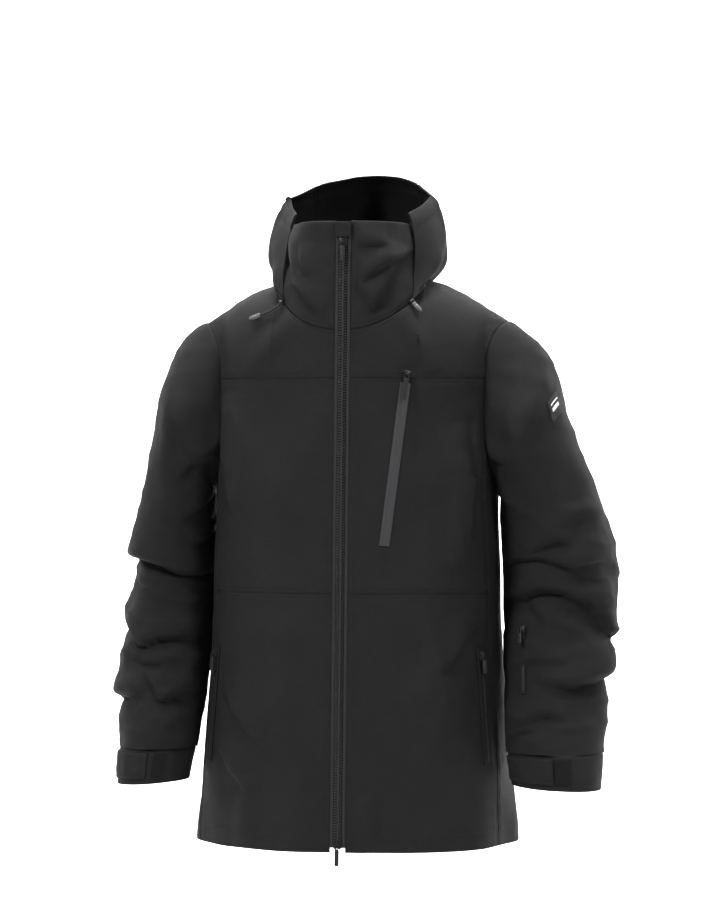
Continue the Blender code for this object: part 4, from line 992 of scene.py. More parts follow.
SLEEVE_FOLDS = {
    "right": (
        ("crease", ((-0.12, -0.366), (0.0, -0.3705), (0.12, -0.369),
                    (0.225, -0.376), (0.323, -0.392), (0.48, -0.388)), 0.0095, 0.0085),
        ("crease", ((-0.14, -0.425), (0.0, -0.4435), (0.10, -0.462),
                    (0.186, -0.480), (0.257, -0.4725), (0.45, -0.468)), 0.0095, 0.0080),
        ("crease", ((0.12, -0.495), (0.22, -0.502), (0.365, -0.5016)), 0.0048, 0.0070),
        ("crease", ((-0.13, -0.540), (0.0, -0.549), (0.10, -0.548), (0.188, -0.544), (0.23, -0.540)), 0.0090, 0.0070),
        ("crease", ((0.215, -0.5150), (0.245, -0.536), (0.285, -0.552),
                    (0.347, -0.5465), (0.47, -0.540)), 0.0070, 0.0070),
        ("crease", ((0.42, -0.232), (0.36, -0.240), (0.28, -0.262)), 0.0050, 0.0090),
        ("crease", ((0.48, -0.282), (0.40, -0.300), (0.31, -0.322)), 0.0050, 0.0090),
        ("crease", ((0.49, -0.330), (0.42, -0.345), (0.34, -0.352)), 0.0045, 0.0080),
        ("crease", ((0.10, -0.395), (0.16, -0.405), (0.24, -0.402)), 0.0030, 0.0080),
        ("ridge", ((-0.10, -0.497), (0.02, -0.500), (0.14, -0.500)), 0.0050, 0.0200),
        ("ridge", ((0.10, -0.120), (0.20, -0.200), (0.24, -0.300)), 0.0040, 0.0160),
        ("ridge", ((0.12, -0.585), (0.24, -0.590), (0.36, -0.580)), 0.0030, 0.0140),
    ),
    "left": (
        ("ridge", ((0.288, -0.334), (0.219, -0.314), (0.122, -0.300), (0.02, -0.300)), 0.0045, 0.0110),
        ("crease", ((0.330, -0.358), (0.302, -0.3524), (0.245, -0.343), (0.200, -0.350)), 0.0070, 0.0060),
        ("crease", ((0.47, -0.380), (0.393, -0.372), (0.307, -0.366),
                    (0.219, -0.376), (0.153, -0.372), (0.04, -0.370)), 0.0055, 0.0075),
        ("crease", ((0.245, -0.372), (0.200, -0.384), (0.150, -0.393), (0.090, -0.392)), 0.0040, 0.0070),
        ("crease", ((0.49, -0.412), (0.363, -0.4185), (0.275, -0.4066), (0.1815, -0.4185),
                    (0.115, -0.438), (0.05, -0.463), (-0.08, -0.475)), 0.0095, 0.0085),
        ("crease", ((0.34, -0.425), (0.30, -0.440), (0.28, -0.455)), 0.0030, 0.0060),
        ("crease", ((0.36, -0.497), (0.32, -0.500), (0.203, -0.498)), 0.0036, 0.0075),
        ("crease", ((0.31, -0.522), (0.28, -0.525), (0.193, -0.5275),
                    (0.095, -0.525), (-0.02, -0.515), (-0.14, -0.505)), 0.0095, 0.0070),
        ("crease", ((0.42, -0.585), (0.345, -0.574), (0.272, -0.566), (0.200, -0.570)), 0.0048, 0.0065),
        ("crease", ((0.46, -0.602), (0.40, -0.593), (0.31, -0.584)), 0.0040, 0.0060),
        ("crease", ((0.46, -0.225), (0.40, -0.232), (0.33, -0.250)), 0.0060, 0.0100),
        ("crease", ((0.49, -0.275), (0.42, -0.288), (0.34, -0.305)), 0.0050, 0.0090),
        ("crease", ((0.34, -0.115), (0.30, -0.135), (0.27, -0.165)), 0.0034, 0.0090),
        ("ridge", ((0.20, -0.110), (0.26, -0.190), (0.28, -0.290)), 0.0045, 0.0150),
        ("ridge", ((0.00, -0.495), (0.12, -0.490), (0.20, -0.480)), 0.0040, 0.0180),
        ("ridge", ((0.05, -0.410), (0.12, -0.400), (0.18, -0.395)), 0.0040, 0.0120),
    ),
}
BACK_OF_SLEEVE = (
    ("crease", ((0.98, -0.395), (0.86, -0.385), (0.74, -0.392), (0.60, -0.388)), 0.0060, 0.0090),
    ("crease", ((0.95, -0.300), (0.84, -0.318), (0.70, -0.315)), 0.0040, 0.0090),
    ("crease", ((0.55, -0.290), (0.64, -0.262), (0.72, -0.240)), 0.0060, 0.0090),
    ("crease", ((0.54, -0.335), (0.64, -0.322), (0.74, -0.330)), 0.0050, 0.0085),
    ("crease", ((0.98, -0.470), (0.86, -0.460), (0.72, -0.470), (0.58, -0.462)), 0.0060, 0.0085),
    ("crease", ((0.90, -0.530), (0.78, -0.522), (0.64, -0.530)), 0.0060, 0.0080),
    ("crease", ((0.94, -0.575), (0.82, -0.582), (0.70, -0.574)), 0.0040, 0.0075),
    ("ridge", ((0.78, -0.130), (0.76, -0.220), (0.77, -0.300)), 0.0040, 0.0170),
)
SLEEVE_SPLIT, SLEEVE_END = 6.05, 11.0  # ring positions between upper and lower sleeve, and at the cuff
TUCK_ROWS = (1.0, 0.6, 0.25)  # shares of the tuck that goes in behind the armhole
SLEEVE_GIRTH = 0.40
SLEEVE_SEAMS = (0.5, 0.80)
SLEEVE_WALL = 0.0030
BESIDE_BODY = {"left": 0.0022, "right": 0.0020}  # how far a sleeve swells towards the body
SHOULDER_START, SHOULDER_REACH = (0.186, 0, -0.270), 0.0354
ELBOW_START, ELBOW_END = (0, 0, -0.365), (0, 0, -0.435)


def from_share(share, middle):
    """Distance round the sleeve from a share, from -0.5 to 0.5."""
    return (share - middle + 0.5) % 1.0 - 0.5


def sleeve_lift(side):
    """Creases and ridges, sharp wrinkles round the elbow, and two seams."""
    seed = 0.0 if side == "left" else 10.0

    def lift(P, SU, SV, share, V):
        z = P[..., 2]
        height = np.zeros(z.shape)
        wobble = soft_noise(P, 0.045, 2.5 + seed)
        for kind, points, depth, width in SLEEVE_FOLDS[side] + BACK_OF_SLEEVE:
            centre = sum(p[0] for p in points) / len(points)
            a = (from_share(share, centre) + centre) * SLEEVE_GIRTH
            line = [(p[0] * SLEEVE_GIRTH, p[1]) for p in points]
            height += folds(a + 0.004 * wobble, z + 0.003 * wobble, [(kind, line, depth, width)])
        height += noises(P, (0.050, 4.5, 0.0034), (0.020, 6.5, 0.0009), (0.009, 8.5, 0.0002))
        turn = 2 * np.pi * share
        flat = np.stack([np.sin(turn) * 0.7 + z * 3.0, np.cos(turn) * 0.7, z / 0.032], axis=2)
        sharp = 1 - np.abs(soft_noise(flat, 1.0, 14.0 + seed)) * 2.4
        height += 0.0030 * (0.35 + 0.65 * bell(z, -0.46, 0.13)) * np.clip(sharp, 0, 1) ** 2
        for seam in SLEEVE_SEAMS:
            height -= 0.0011 * bell(from_share(share, seam) * SLEEVE_GIRTH, 0, 0.0024)
        inner = np.clip(1 - np.abs(share - 0.5) / 0.14, 0, 1)
        height = np.where(height > 0, height * (1 - 0.85 * inner), height)
        height = height * (0.25 + 0.75 * smooth(V / 0.6)) + 0.0006 * bell(V, 0.35, 0.30) * (1 - inner)
        beside = bell(share, 0.5, 0.085) * np.clip((-0.285 - z) / 0.03, 0, 1)
        return np.clip(height + BESIDE_BODY[side] * beside, -0.0130, 0.0125)
    return lift


def sleeve_columns():
    base = [i / 104 for i in range(104)]
    extra = [seam + off for seam in SLEEVE_SEAMS for off in (-0.0105, -0.0055, 0.0045, -0.0025, 0.0025)]
    return sorted(set(round(s, 5) for s in base + extra))


def sleeves():
    shares, tuck = sleeve_columns(), len(TUCK_ROWS)
    upper_rows = [0.0] * tuck + [0.0, 0.02, 0.045, 0.075, 0.11] + steps(70, 0.15, SLEEVE_SPLIT)
    rows = upper_rows[:-1] + steps(78, SLEEVE_SPLIT, SLEEVE_END)
    cut, columns = len(upper_rows) - 1, len(shares)
    U, V = np.meshgrid(shares, rows)
    for side, sign in SIDES:
        rings = sleeve_rings(side)
        turned = sided(lambda u, v, rings=rings: sleeve(rings, u, v), sign)
        P = np.array([[turned(u, v) for u in shares] for v in rows], dtype=float)
        P[:tuck, :, 0] -= sign * 1e-4 * np.arange(tuck, 0, -1)[:, None]
        N = grid_normals(P, sign, True)
        SU, SV = arc_lengths(P, True)
        height = sleeve_lift(side)(P, SU, SV, U, V) - 0.0006 * bell(SV, 0, 0.0016)
        for i, share in enumerate(TUCK_ROWS):
            P[i] = P[tuck] + np.array([-sign, 0, 0]) * 0.0050 * share
            N[i] = N[tuck]
            height[i] = height[tuck] - 0.0036 * share
        outer = P + N * height[..., None]
        N = grid_normals(outer, sign, True)
        inner = outer - N * SLEEVE_WALL
        x, y, z = SHOULDER_START
        shoulder = (sign * x, y, z), (sign * (x + SHOULDER_REACH * 0.906), y, z - SHOULDER_REACH * 0.4226)
        for part, first, last, before, (start, end) in (
                ("upper", 0, cut + 1, "jacket", shoulder),
                ("lower", cut, len(rows), f"sleeve_upper_{side}", (ELBOW_START, ELBOW_END))):
            name, body = f"shell_sleeve_{part}_{side}", f"sleeve_{part}_{side}"
            part_of = slice(first, last)
            PANELS[name] = (outer[part_of], N[part_of], SU[part_of], SV[part_of])
            ring = [*outer[part_of], *inner[part_of][::-1]]
            uvs = np.stack([np.concatenate([*lengths[part_of], *lengths[part_of][::-1]])
                            for lengths in (SU, SV)], axis=1)
            outside = last - first - 1
            indices = [0] * (outside * columns) + [1] * ((len(ring) - outside) * columns)
            obj = finish_mesh(name, np.concatenate(ring), quads(len(ring), columns), (SHELL, LINING), uvs, indices)
            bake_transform(obj)
            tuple(start)
            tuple(end)
            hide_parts(body)
        cuffs(side, sign, rings, shares)


def cuffs(side, sign, rings, shares):
    """A cuff with its tab, and the hook patch on the cuff under the tab."""
    gap = 0.0048 / (ELBOW_Z - CUFF_TOP_Z)
    body, name, tab_name = f"sleeve_lower_{side}", f"shell_cuff_{side}", f"tab_{side}"

    def part(u_from, u_to, v_from, v_to):
        def surface(u, v):
            along = mix(SLEEVE_END + gap / 2, SLEEVE_END + 1, mix(v_from, v_to, v))
            return sleeve(rings, mix(u_from, u_to, u), along)
        return sided(surface, sign)

    def lift(P, SU, SV, U, V):
        height = soft_noise(P, 0.030, 15.0) * 0.0010 - 0.0012 * bell(SV, 0, 0.0022)
        return height - 0.0004 * bell(SV[-1:, :] - SV, 0.006, 0.0011)
    obj = cloth(name, part(0, 1, 0, 1), shares, stations(0.045, True, False, step=0.0030), hand=sign, loop=True,
                lift=lift, wall=0.0032, rolled=("v1",))
    on_body(obj, f"cuff_{side}", body=body)
    stitching(f"stitch_cuff_{side}", name, "v1", 0.0060, body)
    first, last = {"left": (0.245, 0.470), "right": (0.020, 0.250)}[side]
    obj = cloth(tab_name, part(first, last, 0.12, 0.80), stations(0.065, step=0.0030), stations(0.030, step=0.0030),
                hand=sign, depth=-0.0024, wall=0.0016, materials=(SHELL, HOOK), edges=ALL_EDGES,
                rolled=("v0", "v1"), seam_depth=0.0004)
    on_body(obj, f"cuff_tab_{side}", body=f"cuff_tab_{side}")
    for edge in ALL_EDGES:
        stitching(f"stitch_tab_{side}_{edge}", tab_name, edge, 0.0038, f"cuff_tab_{side}")
    first, last = {"left": (0.185, 0.238), "right": (0.276, 0.326)}[side]
    obj = cloth(f"hook_patch_{side}", part(first, last, 0.14, 0.78), steps(12), steps(12), hand=sign, depth=-0.0012,
                wall=0.0012, materials=(HOOK,))
    on_body(obj, body=body)


# --- small parts ---------------------------------------------------------------------------------

class Parts:
    """Many small closed bodies gathered into one mesh."""

    def __init__(self):
        self.verts, self.faces, self.uvs = [], [], []

    def rings(self, rings, closed=False):
        """Joins rings of points; the ends are filled unless the tube runs round."""
        start, size = len(self.verts), len(rings[0])
        run = 0.0
        for i, ring in enumerate(rings):
            if i:
                run += (Vector(ring[0]) - Vector(rings[i - 1][0])).length
            around = 0.0
            for k, point in enumerate(ring):
                if k:
                    around += (Vector(point) - Vector(ring[k - 1])).length
                self.verts.append(tuple(point))
                self.uvs.append((around, run))
        count = len(rings)
        self.faces += quads(count, size, start, closed=closed)
        if not closed:
            self.faces.append(tuple(range(start + size - 1, start - 1, -1)))
            self.faces.append(tuple(range(start + (count - 1) * size, start + count * size)))

    def loft(self, place, axes, sections, sides=16, square=2.6):
        """Sections along the third axis: (along, half width, half thickness)."""
        across, out, along = axes
        rings = []
        for s, w, t in sections:
            ring = []
            for k in range(sides):
                a = 2 * math.pi * k / sides
                ring.append(place + along * s + across * (w * signed_power(math.cos(a), 2 / square))
                            + out * (t * signed_power(math.sin(a), 2 / square)))
            rings.append(ring)
        self.rings(rings)

    def slab(self, place, axes, outline, low, high, bevel=0.0004):
        """A flat plate: an outline in (across, along) between two heights, its edges rounded."""
        across, out, along = axes
        cx = sum(p[0] for p in outline) / len(outline)
        cy = sum(p[1] for p in outline) / len(outline)
        rings = []
        for height, inset in ((low, bevel), (low + bevel * 0.3, bevel * 0.3), (low + bevel, 0), (high - bevel, 0),
                              (high - bevel * 0.3, bevel * 0.3), (high, bevel)):
            ring = []
            for x, y in outline:
                reach = math.hypot(x - cx, y - cy) or 1
                f = 1 - inset / reach
                ring.append(place + across * (cx + (x - cx) * f) + along * (cy + (y - cy) * f) + out * height)
            rings.append(ring)
        self.rings(rings)

    def tube(self, path, radius, sides=12, closed=False, flat=1.0, up=None, relief=None):
        """A round or flattened tube along a path."""
        count = len(path)
        rings = []
        last = None
        for i, point in enumerate(path):
            before = path[i - 1] if i or closed else path[0]
            after = path[(i + 1) % count] if i < count - 1 or closed else path[-1]
            along = (Vector(after) - Vector(before)).normalized()
            guide = Vector(up) if up is not None else (last or along.orthogonal())
            side = along.cross(guide).normalized()
            out = side.cross(along).normalized()
            last = out
            ring = []
            for k in range(sides):
                a = 2 * math.pi * k / sides
                r = radius * (1 + (relief(i, a) if relief else 0))
                ring.append(Vector(point) + side * (r * math.cos(a)) + out * (r * flat * math.sin(a)))
            rings.append(ring)
        self.rings(rings, closed)

    def made(self, name, *materials):
        return finish_mesh(name, self.verts, self.faces, materials, self.uvs)


def zip_axes(top, bottom, face):
    along = (top - bottom).normalized()
    out = (face - along * face.dot(along)).normalized()
    return along.cross(out) * -1, out, along


def both_sides(points):
    """An outline from its half at positive x, going up."""
    return list(points) + [(-x, y) for x, y in reversed(points)]


def rounded_outline(half_x, half_y, radius, count=5):
    points = []
    for sx, sy, first in ((1, 1, 0), (-1, 1, 90), (-1, -1, 180), (1, -1, 270)):
        for i in range(count):
            a = math.radians(first + 90 * i / (count - 1))
            points.append((sx * (half_x - radius) + radius * math.cos(a),
                           sy * (half_y - radius) + radius * math.sin(a)))
    return points


TOUCH_GAP, PULL_STAND_OFF, SLIDER_LENGTH = 0.0004, 0.0024279, 0.0110
TOOTH_PITCH = 0.0034
TAPE_RAISE = 0.0018


def pull(prefix, place, axes, stand, width, length, ribs):
    """A hinged pull: a metal link at the slider and a ribbed moulded grip below it."""
    across, out, along = axes
    pivot = place + out * (stand + PULL_STAND_OFF)
    w = width / 2
    link = Parts()
    loop = [pivot - along * (0.0034 - s) + across * x for x, s in rounded_outline(w * 0.62, 0.0042, 0.0018, 4)]
    link.tube(loop, 0.00062, 8, closed=True, up=out)
    first, last = 0.0052, length - 0.0012
    sections = [(-first, w * 0.55, 0.0007), (-first - 0.0006, w * 0.78, 0.0010), (-(first + 0.0018), w * 0.90, 0.00112)]
    for i in range(ribs * 4 + 1):
        s = mix(first + 0.0030, last - 0.0032, i / (ribs * 4))
        swell = 0.5 - 0.5 * math.cos(2 * math.pi * i / 4)
        sections.append((-s, w * (0.88 + 0.10 * swell), 0.00080 + 0.00048 * swell))
    sections += [(-(last - 0.0018), w * 0.98, 0.00115), (-(last - 0.0007), w * 0.86, 0.00100),
                 (-last, w * 0.58, 0.0006)]
    grip = Parts()
    grip.loft(pivot, axes, sections, 20, 3.0)
    on_body(link.made(f"{prefix}_pull_link", METAL), f"{prefix}_pull", body=f"{prefix}_pull", slot="metal")
    on_body(grip.made(f"{prefix}_pull_grip", RUBBER), body=f"{prefix}_pull", slot="rubber")


def main_slider(prefix, place, axes, pull_length, point_up=True):
    """A moulded-zip slider: two plates over and under the teeth, walls at their sides and a crown for the pull."""
    across, out, along = axes
    shape_axes = (across, out, along if point_up else along * -1)
    outline = both_sides(((0.0034, -0.0055), (0.0046, -0.0046), (0.0052, -0.0010), (0.0056, 0.0030),
                          (0.0050, 0.0049), (0.0030, 0.0056), (0.0008, 0.0050)))
    outline = outline[-1:] + outline[:-1]
    made = Parts()
    made.slab(place, shape_axes, outline, 0.0018, 0.0031)
    made.slab(place, shape_axes, outline, -0.0031, -0.0018)
    for sign in (1, -1):
        wall = [(sign * 0.0050, -0.0040), (sign * 0.0055, -0.0034), (sign * 0.0058, 0.0030), (sign * 0.0051, 0.0034)]
        made.slab(place, shape_axes, wall, 0.0010, 0.0022, 0.0001)
        made.slab(place, shape_axes, wall, -0.0022, -0.0010, 0.0001)
    crown = [place + along * s + out * r for s, r in
             ((-0.0040, 0.0029), (-0.0036, 0.0040), (-0.0026, 0.0043), (-0.0016, 0.0043), (0.0020, 0.0043),
              (0.0030, 0.0040), (0.0034, 0.0029))]
    made.tube(crown, 0.00085, 10, up=across, flat=0.55)
    on_body(made.made(f"{prefix}_slider_body", METAL), f"{prefix}_slider", body=f"{prefix}_slider", slot="metal")
    pull(prefix, place, axes, 0.0031, 0.0065, pull_length, ribs=5)


ZIP_TOP_Z, ZIP_BOTTOM_Z = 0.052, -0.729


TOOTH = ((0.0048, -0.00070), (0.0048, 0.00070), (0.0026, 0.00066), (0.0016, 0.00044), (0.0006, 0.00052),
         (-0.0005, 0.00074), (-0.0011, 0.00050), (-0.0011, -0.00050), (-0.0005, -0.00074), (0.0006, -0.00052),
         (0.0016, -0.00044), (0.0026, -0.00066))
STOP = ((0.0006, -0.0016), (0.0046, -0.0016), (0.0046, 0.0016), (0.0006, 0.0016))
PIPING = ((0.0030, -0.0014), (0.0050, -0.0016), (0.0098, -0.0016), (0.0101, -0.0008), (0.0097, 0.0000),
          (0.0088, 0.0005), (0.0076, 0.0008), (0.0064, 0.0008), (0.0056, 0.0004), (0.0052, -0.0002),
          (0.0048, -0.0008), (0.0030, -0.0010))
PIPING_ROWS = 330


def main_zip():
    top = Vector((0, front_line(ZIP_TOP_Z), ZIP_TOP_Z))
    bottom = Vector((0, front_line(ZIP_BOTTOM_Z), ZIP_BOTTOM_Z))
    axes = zip_axes(top, bottom, Vector((0, -1, 0)))
    across, out, along = axes
    length = (top - bottom).length
    for side, sign in SIDES:
        tooth, stop = ([(sign * x, y) for x, y in outline] for outline in (TOOTH, STOP))
        teeth = Parts()
        for i in range(int(length / TOOTH_PITCH)):
            s = (i + (0.5 if sign > 0 else 1.0)) * TOOTH_PITCH
            if s > length - 0.001:
                break
            teeth.slab(bottom + along * s, axes, tooth, -0.0012, 0.0016, 0.00022)
        for s in (0.0012, length - 0.0012):
            teeth.slab(bottom + along * s, axes, stop, -0.0014, 0.0014, 0.0003)
        on_body(teeth.made(f"zip_teeth_{side}", TEETH), f"main_zip_teeth_{side}", slot="zip_teeth")
        rows = []
        for i in range(PIPING_ROWS + 1):
            s = length * i / PIPING_ROWS
            wave = 0.00010 * math.sin(s * 2 * math.pi / 0.019) + 0.00008 * math.sin(s * 2 * math.pi / 0.0072)
            rows.append([bottom + along * s + across * (sign * x) + out * (y + (wave if y > 0 else 0))
                         for x, y in PIPING])
        tape = Parts()
        tape.rings(rows)
        on_body(tape.made(f"zip_piping_{side}", TAPE), f"main_zip_tape_{side}", slot="zip_tape")
    for prefix, z, size, up in (("main_top", 0.043, 0.026, True), ("main_bottom", ZIP_BOTTOM_Z + 0.004, 0.028, False)):
        main_slider(prefix, Vector((0, front_line(z), z)), axes, size, up)


def pocket_slider(prefix, top, bottom, face, travel, length):
    """A small slider with its pull, a travel down from the zip's top."""
    stand, height = 0.0030, 0.0034
    axes = zip_axes(top, bottom, face)
    across, out, along = axes
    place = top - along * travel + out * (stand + height / 2)
    outline = [(-0.0028, -0.0055), (0.0028, -0.0055), (0.0038, -0.0046), (0.0042, 0.0020), (0.0040, 0.0044),
               (0.0022, 0.0055), (-0.0022, 0.0055), (-0.0040, 0.0044), (-0.0042, 0.0020), (-0.0038, -0.0046)]
    made = Parts()
    made.slab(place, axes, outline, -0.0017, -0.0003)
    made.slab(place, axes, [(x * 0.84, y * 0.88) for x, y in outline], -0.0005, 0.0009)
    crown = [place + along * s + out * r for s, r in ((-0.0034, 0.0006), (-0.0028, 0.0015), (-0.0018, 0.0017),
                                                      (0.0012, 0.0017), (0.0022, 0.0014), (0.0028, 0.0006))]
    made.tube(crown, 0.0008, 10, up=across, flat=0.5)
    on_body(made.made(f"{prefix}_slider_body", METAL), f"{prefix}_slider", body=f"{prefix}_slider", slot="metal")
    pull(prefix, place, axes, height / 2, 0.0068, length, ribs=7 if length > 0.03 else 4)


COIL_PITCH, COIL_MARGIN = 0.0012, 0.004
COIL_TURN = ((-0.00042, 0.00104, 0.00025), (-0.0002, 0.0013, 0.00048), (0.0002, 0.0013, 0.00048),
             (0.00042, 0.00104, 0.00025))


def coil(name, panel, body):
    """The closed coil that shows along the middle of a narrow zip's tape."""
    outer, N, SU, SV = PANELS[panel]
    j = outer.shape[1] // 2
    line, ups, run = outer[:, j], N[:, j], SV[:, j]
    made = Parts()
    s = COIL_MARGIN
    while s < run[-1] - COIL_MARGIN:
        k, t = at_length(run, s)
        point = Vector(line[k - 1] * (1 - t) + line[k] * t)
        along = Vector(line[k] - line[k - 1]).normalized()
        out = Vector(ups[k]).normalized()
        across = along.cross(out).normalized()
        made.loft(point - out * 0.00015, (across, out, along), COIL_TURN, 8, 2.2)
        s += COIL_PITCH
    on_body(made.made(name, TEETH), body=body, slot="zip_teeth")


def tape_cloth(name, surface, width, length, made_of, node, body="jacket", lift=None):
    obj = cloth(name, surface, stations(width, False, False, step=0.0006), stations(length, False, False, step=0.0032),
                depth=-TAPE_RAISE, wall=0.0011, lift=lift, materials=(made_of, TAPE), rolled=("v0", "v1"))
    on_body(obj, node, body=body, slot="zip_tape")
    coil(f"{name}_coil", name, body)


def tape_panel(name, top, bottom, width, made_of, node):
    """A pocket zip's tape between two (x, z) places on the front, with a groove where the coil lies."""
    (top_x, top_z), (low_x, low_z) = top, bottom
    slope = Vector((top_x - low_x, top_z - low_z)).normalized()

    def surface(u, v):
        off = width * (u - 0.5)
        return on_front(mix(low_x, top_x, v) + slope.y * off, mix(low_z, top_z, v) - slope.x * off)

    def lift(P, SU, SV, U, V):
        edges = bell(U, 0, 0.05) + bell(1 - U, 0, 0.05)
        return drape(P, SU, SV, U, V) - 0.0005 * edges - bell(U, 0.5, 0.055) * 0.0005
    tape_cloth(name, surface, width, math.dist(top, bottom), made_of, node, lift=lift)


CHEST_TOP, CHEST_BOTTOM = (0.082, -0.128), (0.0560, -0.346)
HAND_TOP_Z, HAND_LENGTH, HAND_INSET = -0.478, 0.150, 0.020


def hand_zip_x(z):
    return half_width(z) - HAND_INSET


def near_zips(P):
    """0 on a pocket zip and 1 away from it, so that the cloth lies flat under each zip."""
    x, y, z = P[..., 0], P[..., 1], P[..., 2]
    low_z = HAND_TOP_Z - HAND_LENGTH
    nearest = np.abs(along_line(x, z, [CHEST_TOP, CHEST_BOTTOM])[0])
    for sign in (1, -1):
        line = [(sign * hand_zip_x(HAND_TOP_Z), HAND_TOP_Z), (sign * hand_zip_x(low_z), low_z)]
        if sign < 0:
            line = line[::-1]
        nearest = np.minimum(nearest, np.abs(along_line(x, z, line)[0]))
    return np.where(y < 0, smooth((nearest - 0.007) / 0.020), 1.0)


def pocket_zips():
    tape_top = tuple(mix(a, b, 0.05) for a, b in zip(CHEST_TOP, CHEST_BOTTOM))
    tape_panel("chest_tape", tape_top, CHEST_BOTTOM, 0.0130, WELD, "chest_zip_tape")
    pocket_slider("chest", on_front(*CHEST_TOP), on_front(*CHEST_BOTTOM), Vector((0.25, -1, 0)), 0.0, 0.034)
    for side, sign in SIDES:
        top, bottom = ((sign * hand_zip_x(z), z) for z in (HAND_TOP_Z, HAND_TOP_Z - HAND_LENGTH))
        tape_panel(f"hand_tape_{side}", top, bottom, 0.0100, SHELL, f"hand_zip_tape_{side}")
        pocket_slider(f"hand_{side}", on_front(*top), on_front(*bottom), Vector((sign * 0.8, -1, 0)),
                      SLIDER_LENGTH, 0.024)
    pass_zip()


PASS_TOP_Z, PASS_LENGTH, PASS_SHARE, PASS_WIDTH = -0.446, 0.095, 0.345, 0.0090


def pass_zip():
    """The zip on the left forearm."""
    rings = sleeve_rings("left")
    marks = [(0, 0)] + [(share, i + 1) for i, share in enumerate((0.28, 0.60, 0.86, 1.0))]
    girth = math.pi * (0.133 / 2 + 0.067)

    def at(u, v):
        z = mix(PASS_TOP_Z - PASS_LENGTH, PASS_TOP_Z, v)
        position = through(marks, (ELBOW_Z - z) / (ELBOW_Z - CUFF_TOP_Z))
        return sleeve(rings, PASS_SHARE + (0.5 - u) * PASS_WIDTH / girth, 7 + position)
    tape_cloth("pass_tape", at, PASS_WIDTH, PASS_LENGTH, SHELL, "pass_zip_tape", "sleeve_lower_left")
    e = 1e-3
    middle = at(0.5, 0.5)
    face = (at(0.5 + e, 0.5) - at(0.5 - e, 0.5)).cross(at(0.5, 0.5 + e) - at(0.5, 0.5 - e)).normalized()
    if face.dot(middle - Vector((0.26, middle.y + 0.05, middle.z))) < 0:
        face = -face
    pocket_slider("pass", at(0.5, 0.93), at(0.5, 0), face, 0.0, 0.020)


def middle_and_half(node):
    """Middle of a CAD node's box, and half of its size."""
    lowest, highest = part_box(node)
    return (lowest + highest) / 2, (highest - lowest) / 2


def zip_garage():
    """The folded cloth over the top of the main zip, with its stitches."""
    axes = zip_axes(Vector((0, front_line(0.1), 0.1)), Vector((0, front_line(0), 0)), Vector((0, -1, 0)))
    across, out, along = axes
    middle, half = (found.z for found in middle_and_half("zip_garage"))
    place = Vector((0, front_line(middle), middle)) + out * 0.0031
    garage = Parts()
    sections = [(-half, 0.0090, 0.0005), (-half + 0.0006, 0.0100, 0.0010), (-half + 0.0020, 0.0104, 0.0012)]
    sections += [(mix(-half + 0.003, half - 0.003, i / 6), 0.0104 + 0.0001 * math.sin(i * 2.1),
                  0.00115 + 0.00022 * math.sin(i * 1.7)) for i in range(7)]
    sections += [(half - 0.0014, 0.0104, 0.0012), (half - 0.0004, 0.0099, 0.0009), (half, 0.0088, 0.0004)]
    garage.loft(place, axes, sections, 28, 4.0)
    on_body(garage.made("zip_garage_fold", SHELL), "zip_garage")
    seam = Parts()
    for x in (-0.0088, 0.0088):
        for i in range(int(2 * half / 0.0034) - 1):
            s = -half + 0.003 + i * 0.0034
            seam.loft(place + across * x + along * s + out * 0.00105, axes,
                      [(0, 0.0001, 0.0001), (0.0005, 0.00024, 0.0003), (0.0018, 0.00024, 0.0003),
                       (0.0023, 0.0001, 0.0001)], 6, 2)
    on_body(seam.made("stitch_garage", THREAD))


def noise_lift(scale, seed, amount):
    return lambda P, SU, SV, U, V: soft_noise(P, scale, seed) * amount


def storm_flap():
    """The strip of lining behind the main zip."""
    flap_low, flap_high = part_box("storm_flap")

    def flap(u, v):
        z = mix(flap_low.z + 0.0005, flap_high.z - 0.0005, v)
        return Vector((mix(-0.015, 0.015, u), front_line(z) + 0.0057, z))
    obj = cloth("storm_flap_strip", flap, stations(0.030, False, False, step=0.0025),
                stations(0.77, False, False, step=0.006), wall=0.0013, rolled=("v0", "v1"),
                materials=(LINING, LINING), lift=noise_lift(0.03, 21.0, 0.0003))
    on_body(obj, "storm_flap", slot="lining")


def hanger_loop():
    middle, half = middle_and_half("hanger_loop")
    loop = Parts()
    path = [middle + Vector((x, 0, z)) for x, z in rounded_outline(half.x - 0.00125, half.z - 0.00125, 0.005, 8)]
    loop.tube(path, 0.0013, 12, closed=True, up=(0, 1, 0), flat=1.8)
    on_body(loop.made("hanger_loop_tape", CORD), "hanger_loop", slot="cord")


QUILT = 0.055  # distance between the quilting lines of the lining
LINING_EDGE_X = 0.026  # the lining and the powder skirt end beside the zip
SKIRT_LOW_Z, SKIRT_HIGH_Z = -0.600, -0.515


def round_inside(u):
    start = body_angle(LINING_EDGE_X, WAIST_Z)
    return mix(start, 2 * math.pi - start, u)


def body_lining():
    def lining(u, v):
        angle = round_inside(u)
        folded = angle if angle < math.pi else 2 * math.pi - angle
        corner = side_seam_angle(ARMHOLE_CORNER_Z)
        under_arm = corner < folded < math.pi - corner
        top = armhole_bottom(folded) - 0.008 if under_arm else YOKE_Z - 0.004
        return body(angle, mix(HEM_Z + 0.004, top, v))

    def quilt(P, SU, SV, U, V):
        a, b = (SU + P[..., 2]) / QUILT, (SU - P[..., 2]) / QUILT
        lines = np.minimum(np.abs(a - np.round(a)), np.abs(b - np.round(b))) * QUILT
        return -0.0006 * bell(lines, 0, 0.0022)
    obj = cloth("lining_body", lining, steps(150), steps(80), depth=0.0104, wall=0.0014, lift=quilt,
                materials=(LINING, LINING), rolled=("v0",))
    on_body(obj, "body_lining", slot="lining")


